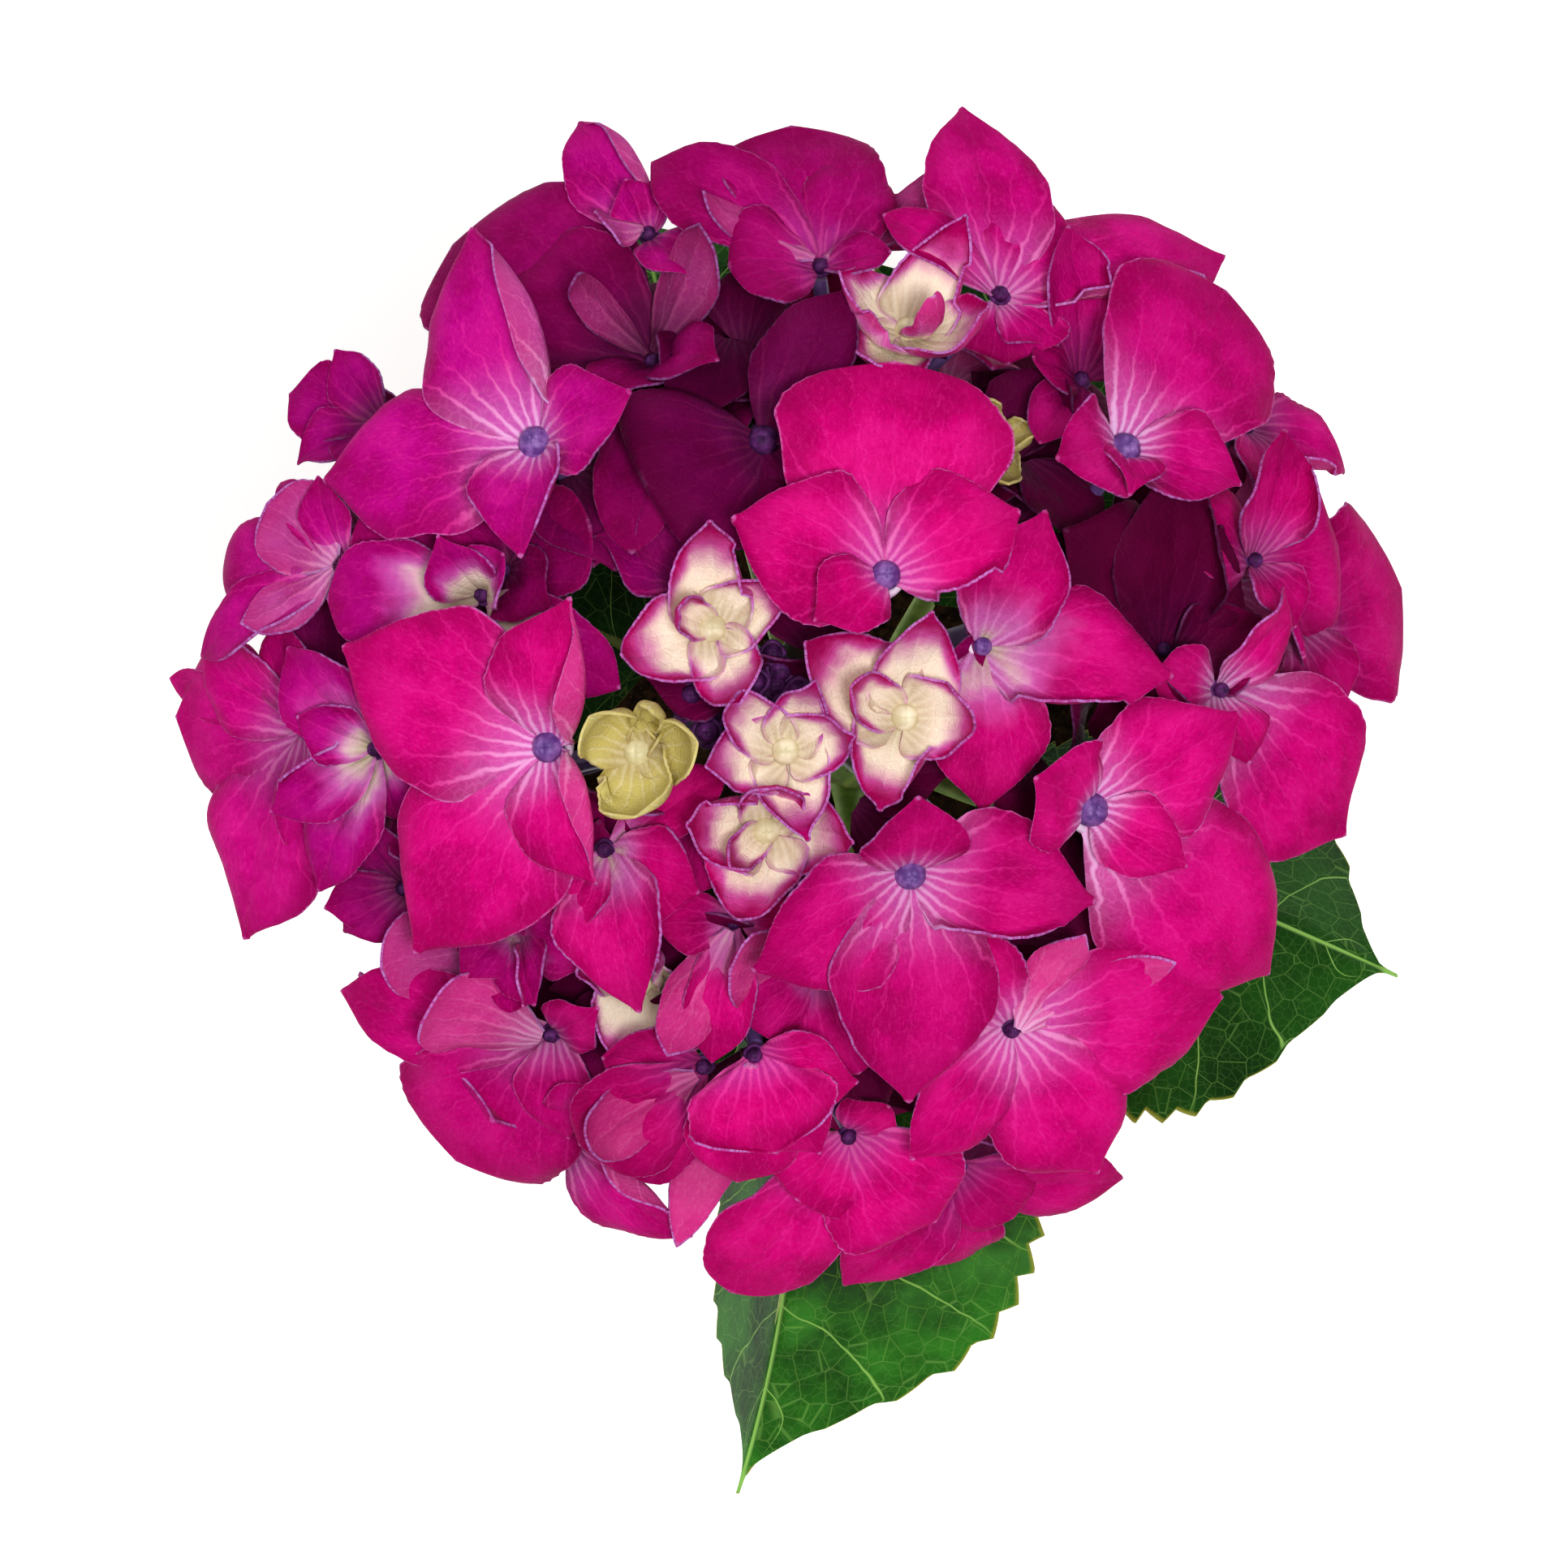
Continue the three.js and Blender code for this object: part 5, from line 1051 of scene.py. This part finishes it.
for foot_x, foot_y, depth, tip_x, tip_y, lift, wide, purple, shade in INNER:
    lean = [inner_draw.uniform(-0.5, 0.5), inner_draw.uniform(-0.5, 0.5), 0]
    up = unit(dome_normal(foot_x, foot_y) + lean)
    shape = (0.9, inner_draw.uniform(0.0, 0.8), inner_draw.uniform(-25, 25), 0.65)
    tint = (purple, shade, 0.0, 0.2)
    foot, tip = on_head(foot_x, foot_y, -depth), on_head(tip_x, tip_y, lift)
    inner_plates.append(sepal(foot, tip, up, wide, shape, tint, inner_draw, INNER_COLUMNS, INNER_ROWS))

for k in range(SHELL_COUNT):
    azimuth = GOLDEN_ANGLE * k
    down = SHELL_TOP + (SHELL_LOW - SHELL_TOP) * k / SHELL_COUNT
    spoke = np.array([math.cos(azimuth) * math.sin(down), math.sin(azimuth) * math.sin(down), math.cos(down)])
    foot = HEAD_CENTRE + spoke * SHELL_RADII + [0, 0, SHELL_RISE]
    swing = azimuth + inner_draw.uniform(0, 2 * math.pi)
    reach = np.cross(spoke, [math.cos(swing), math.sin(swing), 0.3])
    tip = foot + unit(reach) * SHELL_SEPAL + spoke * SHELL_LIFT
    # Painted shade: every shell sepal is half shaded, for the dark inside of the head.
    tint = (inner_draw.uniform(0.2, 0.8), 0.5, 0.0, 0.2)
    wide = inner_draw.uniform(13, 18)
    plate = sepal(foot, tip, spoke, wide, SHELL_SHAPE, tint, inner_draw, SHELL_COLUMNS, SHELL_ROWS)
    inner_plates.append(plate)
inner_sepals = walled(inner_plates, "inner_sepals", CROWDED_FINISHES)

buds = []
for k in range(BUD_COUNT):
    reach = BUD_PATCH_RADIUS * math.sqrt((k + 0.5) / BUD_COUNT)
    angle = BUD_TURN * k
    x, y = BUD_PATCH[0] + 1.2 * reach * math.cos(angle), BUD_PATCH[1] + reach * math.sin(angle)
    size = inner_draw.uniform(0.8, 1.5)
    sunk = BUD_DEPTH + inner_draw.uniform(0, 2.5)
    buds += bud_eye(on_head(x, y, -sunk), dome_normal(x, y), size)
select_only(inner_sepals)
for bud in buds:
    bud.data.materials.append(plum_eye)
    bud.data.polygons.foreach_set("material_index", [0] * len(bud.data.polygons))
    bud.select_set(True)
bpy.ops.object.join()
smooth(inner_sepals, 70)
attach(inner_sepals, "root")

# ---- Skirt florets ----
# Five florets low on the flank that face outwards and close the head's lower edge.
SKIRT_COUNT = 5
SKIRT_FIRST_AZIMUTH = 15
SKIRT_RADIUS = 58
SKIRT_RISE = 18
SKIRT_REACH = 21
SKIRT_WIDTH = 20
SKIRT_DROOP = 5


def skirt_place(index):
    azimuth = math.radians(SKIRT_FIRST_AZIMUTH + 360 / SKIRT_COUNT * index)
    outward = unit(np.array([math.cos(azimuth), math.sin(azimuth), -0.15]))
    along = np.array([-math.sin(azimuth), math.cos(azimuth), 0.0])
    ring = np.array([math.cos(azimuth), math.sin(azimuth), 0.0])
    eye = ring * SKIRT_RADIUS + [0, 0, SKIRT_RISE] + HEAD_CENTRE
    return outward, along, np.cross(outward, along), eye


for index in range(SKIRT_COUNT):
    outward, along, upward, eye = skirt_place(index)
    shaped = []
    for turn in (35, 125, 215, 305):
        angle = math.radians(turn + 14 * index)
        tip = eye + (along * math.cos(angle) + upward * math.sin(angle)) * SKIRT_REACH + outward * SKIRT_DROOP
        shaped.append((tip, outward, SKIRT_WIDTH, (0.5, -0.3, 0, 0.6)))
    tint = (0.35 + 0.1 * index, 0.05, 0.0, 0.6)
    floret(f"skirt_floret_{index + 1}", eye, outward, shaped, tint, OPEN_FINISHES)

# ---- Flower stalks ----
# The peduncle forks into seven branches, each branch ends in a knot, and each knot bears the thin
# pedicels of its nearest florets.  They are fleshy and flushed with violet.
KNOT_RING = 32
KNOT_COUNT = 6
KNOT_DEPTH = 30
KNOT_RADIUS = 0.0032
TRUNK_TOP_RADIUS = 0.0030
BRANCH_RADII = (0.0024, 0.0016)
PEDICEL_RADII = (0.0009, 0.00105)
PEDICEL_GAP = 2.7
fork = (HEAD_CENTRE + [0, 0, 6]) * MM
knots = [on_head(0, 0, -KNOT_DEPTH) * MM]
for k in range(KNOT_COUNT):
    angle = 2 * math.pi * (k + 0.3) / KNOT_COUNT
    knots.append(on_head(KNOT_RING * math.cos(angle), KNOT_RING * math.sin(angle), -KNOT_DEPTH) * MM)


def taper(first, last, ribs=0.0):
    return lambda s, angle: first + (last - first) * s + ribs * np.sin(5 * angle)


trunk_route = [np.array(STEM_TOP) - [0, 0, 0.001], fork]
stalks = [rod("stalk", trunk_route, taper(STEM_TOP_RADIUS, TRUNK_TOP_RADIUS, 0.0001), 12, 20)]
for knot in knots:
    bend = (fork + knot) / 2 - [0, 0, 0.002]
    stalks.append(rod("stalk", [fork - [0, 0, 0.0015], bend, knot], taper(*BRANCH_RADII, 0.00008), 24, 14))
    bpy.ops.object.select_all(action="DESELECT")
    bpy.ops.mesh.primitive_uv_sphere_add(segments=20, ring_count=12, radius=KNOT_RADIUS, location=tuple(knot))
    bpy.ops.object.transform_apply(location=True, rotation=False, scale=False)
    swelling = bpy.context.object
    for point in swelling.data.vertices:
        point.co += point.normal * noise.noise(point.co * 500) * 0.0004
    stalks.append(swelling)
ends = []
for rows in (CROWN, YOUNG, BACK, RIGHT, LEFT, FRONT):
    for x, y, sunk, tint, sepals in rows:
        ends.append(on_head(x, y, -sunk) - PEDICEL_GAP * dome_normal(x, y))
for index in range(SKIRT_COUNT):
    outward, along, upward, eye = skirt_place(index)
    ends.append(eye - PEDICEL_GAP * outward)
for end in ends:
    end = end * MM
    nearest = min(knots, key=lambda knot: np.linalg.norm(knot - end))
    sag = (nearest + end) / 2 + [0, 0, -0.0012]
    stalks.append(rod("stalk", [nearest, sag, end], taper(*PEDICEL_RADII), 14, 10))
select_only(stalks[0])
for stalk in stalks:
    stalk.select_set(True)
bpy.ops.object.join()
flower_stalks = bpy.context.object
flower_stalks.name = "flower_stalks_fine"
smooth(flower_stalks, 60)
stalk_flesh, tree, shader = finish_named("stalk_flesh", 0.45, 0.45)
place = add(tree, "ShaderNodeTexCoord").outputs["Object"]
streak = grain(tree, 260, 4, 0.6, place)
height = add(tree, "ShaderNodeSeparateXYZ", {0: place}).outputs["Z"]
flush = ramp(tree, sums(tree, "ADD", height, sums(tree, "MULTIPLY", streak, 0.03)), 0.190, 0.235)
skin = blend(tree, flush, paint("6f8540"), paint("6a4a86"))
violet = sums(tree, "MULTIPLY", ramp(tree, streak, 0.4, 0.7, 0, 0.6), sums(tree, "ADD", flush, 0.15))
skin = blend(tree, violet, skin, paint("7d6c98"))
tree.links.new(skin, shader.inputs["Base Color"])
relief(tree, shader, streak, 0.3, 0.0003)
flower_stalks.data.materials.append(stalk_flesh)
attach(flower_stalks, "root")
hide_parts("flower_stalks")

# ---- Leaves ----
# Broad oval leaves in opposite pairs, with toothed edges, a long drawn-out tip and a quilted blade
# between sunken veins, each on a grooved petiole from the stem.
# A row: height on the stem, tip x, y, z from the head's centre plane, width, arch of the midrib, and
# the tilt in degrees of the left and right halves, and the midrib's sideways bow.  Millimetres.
LEAVES = [
    (157, -7, -106, -8, 66, 13, -8, -72, 4),
    (157, -20, 66, -22, 60, 14, 14, 10, 2),
    (151, 81, -37, -8, 66, 13, -52, 16, 0),
    (151, -68, 24, -26, 60, 14, 12, 14, -2),
    (122, 44, 62, -62, 58, 12, 12, 14, 3),
    (122, 14, -78, -66, 58, 12, 16, 10, -3),
]
PETIOLE_START = 3.4
PETIOLE_LENGTH = 24
LEAF_THICKNESS = 0.0005
LEAF_COLUMNS = 40
LEAF_ROWS = 130
TEETH = 17
TOOTH_PEAK = 0.86
TOOTH_SIZE = 2.2
VEIN_PAIRS = 7
VEIN_OFFSET = 0.35
VEIN_SLANT = 1.15
VEIN_CURVE = 0.85
QUILT_HEIGHT = 0.85
MIDRIB_GROOVE = 0.55
MIDRIB_WIDTH = 0.9
MARGIN_WAVE = 1.1
DRIP_TIP = 0.15
PATTERN_STEP = 31.0
SHADED_LEAF_SPAN = (10.0, 40.0)


def leaf_outline(s):
    belly = s ** 0.75 * (1 - s) ** 0.8 / (0.484 ** 0.75 * 0.516 ** 0.8)
    return np.maximum(belly * (1 - np.exp(-((1 - s) / DRIP_TIP) ** 2)), 0.035 * (1 - s))


def leaf(index, row):
    height, x, y, z, wide, arch, left_tilt, right_tilt, bow = row
    draw = random.Random(index)
    base, top = np.array(STEM_BASE) / MM, np.array(STEM_TOP) / MM
    node = base + (top - base) * (height - base[2]) / (top[2] - base[2])
    tip = np.array([x, y, z]) + HEAD_CENTRE
    flat = unit(np.array([tip[0] - node[0], tip[1] - node[1], 0]))
    side = np.array([-flat[1], flat[0], 0])
    upward = np.array([0, 0, 1.0])
    root = node + flat * PETIOLE_START
    collar = node + flat * PETIOLE_LENGTH + upward * arch * 0.7
    length = np.linalg.norm(tip - collar)
    phase = [draw.uniform(0, 2 * math.pi) for _ in range(4)]
    plan = {}

    def place(t, u):
        s = 1 - (1 - t) ** 1.1
        saw = np.mod(s * TEETH, 1)
        saw = np.where(saw < TOOTH_PEAK, saw / TOOTH_PEAK, (1 - saw) / (1 - TOOTH_PEAK))
        toothed = np.clip(s / 0.12, 0, 1) * np.clip((0.93 - s) / 0.12, 0, 1)
        reach = np.clip((np.abs(u) - 0.8) / 0.2, 0, 1)
        half = wide / 2 * leaf_outline(s) + TOOTH_SIZE * (saw - 0.6) * toothed * reach
        tilt = np.radians(np.where(u > 0, left_tilt, right_tilt))
        y_flat = u * half
        vein = np.mod(s * VEIN_PAIRS + VEIN_OFFSET - VEIN_SLANT * np.abs(u) ** VEIN_CURVE, 1)
        quilt = np.sin(math.pi * vein) ** 0.7 * np.abs(u) ** 0.5 * np.clip(1.06 - np.abs(u), 0, 1) ** 0.5
        lift = QUILT_HEIGHT * quilt * np.sin(math.pi * np.clip(s, 0, 1)) ** 0.5
        lift = lift - MIDRIB_GROOVE * np.exp(-(y_flat / MIDRIB_WIDTH) ** 2)
        wave = np.sin(2 * math.pi * s * 2.3 + phase[0] + np.sign(u))
        lift = lift + MARGIN_WAVE * np.abs(u) ** 3 * wave * np.sin(math.pi * s)
        rise = 4 * s * (1 - s)
        spot = collar + (tip - collar) * s[:, None] + upward * (arch * rise + lift)[:, None]
        spot = spot + side * (y_flat * np.cos(tilt) + bow * rise)[:, None]
        spot = spot + upward * (np.abs(y_flat) * np.sin(tilt))[:, None]
        plan["along"] = s
        plan["plan"] = np.stack([s * length, y_flat, np.full_like(s, PATTERN_STEP * index)], axis=1)
        return spot * MM

    blade, t, u = shaped_grid("leaf", LEAF_COLUMNS, LEAF_ROWS, place)
    mesh = blade.data
    mesh.attributes.new("along", "FLOAT", "POINT").data.foreach_set("value", plan["along"])
    mesh.attributes.new("across", "FLOAT", "POINT").data.foreach_set("value", np.abs(u))
    mesh.attributes.new("plan", "FLOAT_VECTOR", "POINT").data.foreach_set("vector", plan["plan"].ravel())
    for finish in (leaf_face, leaf_back, leaf_edge):
        mesh.materials.append(finish)
    select_only(blade)
    bpy.ops.object.mode_set(mode="EDIT")
    bpy.ops.mesh.select_all(action="SELECT")
    bpy.ops.mesh.remove_doubles(threshold=2e-7)
    bpy.ops.object.mode_set(mode="OBJECT")
    wall = blade.modifiers.new("wall", "SOLIDIFY")
    wall.thickness = LEAF_THICKNESS
    wall.offset = 0
    wall.material_offset = 1
    wall.material_offset_rim = 2
    apply_modifiers(blade)

    def under_midrib(s, drop):
        return collar + (tip - collar) * s + (upward * arch + side * bow) * 4 * s * (1 - s) - upward * drop

    def petiole_radius(s, angle):
        thick = np.interp(s, [0, 0.05, 0.22, 0.4, 1], [2.6, 2.0, 1.8, 1.1, 0.3])
        return thick * MM * (1 - 0.12 * np.exp(-((np.mod(angle, 2 * math.pi) - math.pi) / 0.6) ** 2))

    rests = ((0.06, 0.5), (0.3, 0.9), (0.6, 0.9), (0.9, 0.8))
    petiole_route = [root * MM, collar * MM] + [under_midrib(s, drop) * MM for s, drop in rests]
    petiole = rod("petiole", petiole_route, petiole_radius, 60, 14)
    petiole.data.materials.append(petiole_skin)
    select_only(blade)
    petiole.select_set(True)
    bpy.ops.object.join()
    blade.name = f"leaf_{index + 1}_fine"
    smooth(blade, 70)
    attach(blade, "root")
    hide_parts(f"leaf_{index + 1}")


def leaf_finish(name, deep, fresh, vein_colour, roughness, depth):
    material, tree, shader = finish_named(name, roughness, 0.1)
    along = add(tree, "ShaderNodeAttribute", attribute_name="along").outputs["Fac"]
    across = add(tree, "ShaderNodeAttribute", attribute_name="across").outputs["Fac"]
    plan = add(tree, "ShaderNodeAttribute", attribute_name="plan").outputs["Vector"]
    parts = add(tree, "ShaderNodeSeparateXYZ", {0: plan})
    off = sums(tree, "ABSOLUTE", parts.outputs["Y"])
    wander = sums(tree, "MULTIPLY", sums(tree, "SUBTRACT", grain(tree, 0.12, 2, 0.5, plan), 0.5), 0.25)
    midrib = ramp(tree, off, 0.12, 0.5, 1, 0)
    slant = sums(tree, "MULTIPLY", sums(tree, "POWER", across, VEIN_CURVE), VEIN_SLANT)
    turn = sums(tree, "SUBTRACT", sums(tree, "MULTIPLY", along, float(VEIN_PAIRS)), slant)
    turn = sums(tree, "ADD", sums(tree, "ADD", turn, VEIN_OFFSET), wander)
    lateral = ramp(tree, sums(tree, "PINGPONG", turn, 0.5), 0.003, 0.02, 1, 0)
    lateral = sums(tree, "MULTIPLY", lateral, ramp(tree, across, 0.8, 1.0, 1, 0.4))
    nets = []
    for scale, wide in ((0.3, 0.035), (0.8, 0.07)):
        cells = {"Vector": plan, "Scale": scale, "Randomness": 0.9}
        cell = add(tree, "ShaderNodeTexVoronoi", cells, feature="DISTANCE_TO_EDGE").outputs["Distance"]
        nets.append(ramp(tree, cell, 0.0, wide, 1, 0))
    veins = sums(tree, "MAXIMUM", midrib, sums(tree, "MULTIPLY", lateral, 0.95))
    veins = sums(tree, "MAXIMUM", veins, sums(tree, "MULTIPLY", nets[0], 0.3))
    veins = sums(tree, "MAXIMUM", veins, sums(tree, "MULTIPLY", nets[1], 0.1))
    cloud = grain(tree, 60, 4, 0.6)
    green = blend(tree, ramp(tree, cloud, 0.3, 0.7), deep, fresh)
    # Painted shade: every leaf but the first is darkened.
    green = blend(tree, ramp(tree, parts.outputs["Z"], *SHADED_LEAF_SPAN, 0.0, 0.7), green, deep)
    green = blend(tree, sums(tree, "MULTIPLY", veins, 0.8), green, vein_colour)
    margin = ramp(tree, across, 0.975, 0.999)
    green = blend(tree, sums(tree, "MULTIPLY", margin, 0.8), green, paint("98983c"))
    tree.links.new(green, shader.inputs["Base Color"])
    height = sums(tree, "ADD", sums(tree, "MULTIPLY", veins, depth), sums(tree, "MULTIPLY", cloud, 0.3))
    relief(tree, shader, height, 0.5, 0.0005)
    return material


leaf_face = leaf_finish("leaf_face", paint("15360e"), paint("3a8028"), paint("9ac968"), 0.5, -1.0)
leaf_back = leaf_finish("leaf_back", paint("5f7f48"), paint("7d9a5e"), paint("b8c890"), 0.6, 1.0)
leaf_edge = leaf_finish("leaf_edge", paint("7f8a38"), paint("98883c"), paint("a8a050"), 0.5, 0.0)
petiole_skin, tree, shader = finish_named("petiole_skin", 0.5, 0.4)
streak = grain(tree, 300, 4, 0.6)
skin = blend(tree, ramp(tree, streak, 0.3, 0.7), paint("6d8a3c"), paint("9aae60"))
tree.links.new(skin, shader.inputs["Base Color"])
relief(tree, shader, streak, 0.3, 0.0003)
for index, row in enumerate(LEAVES):
    leaf(index, row)
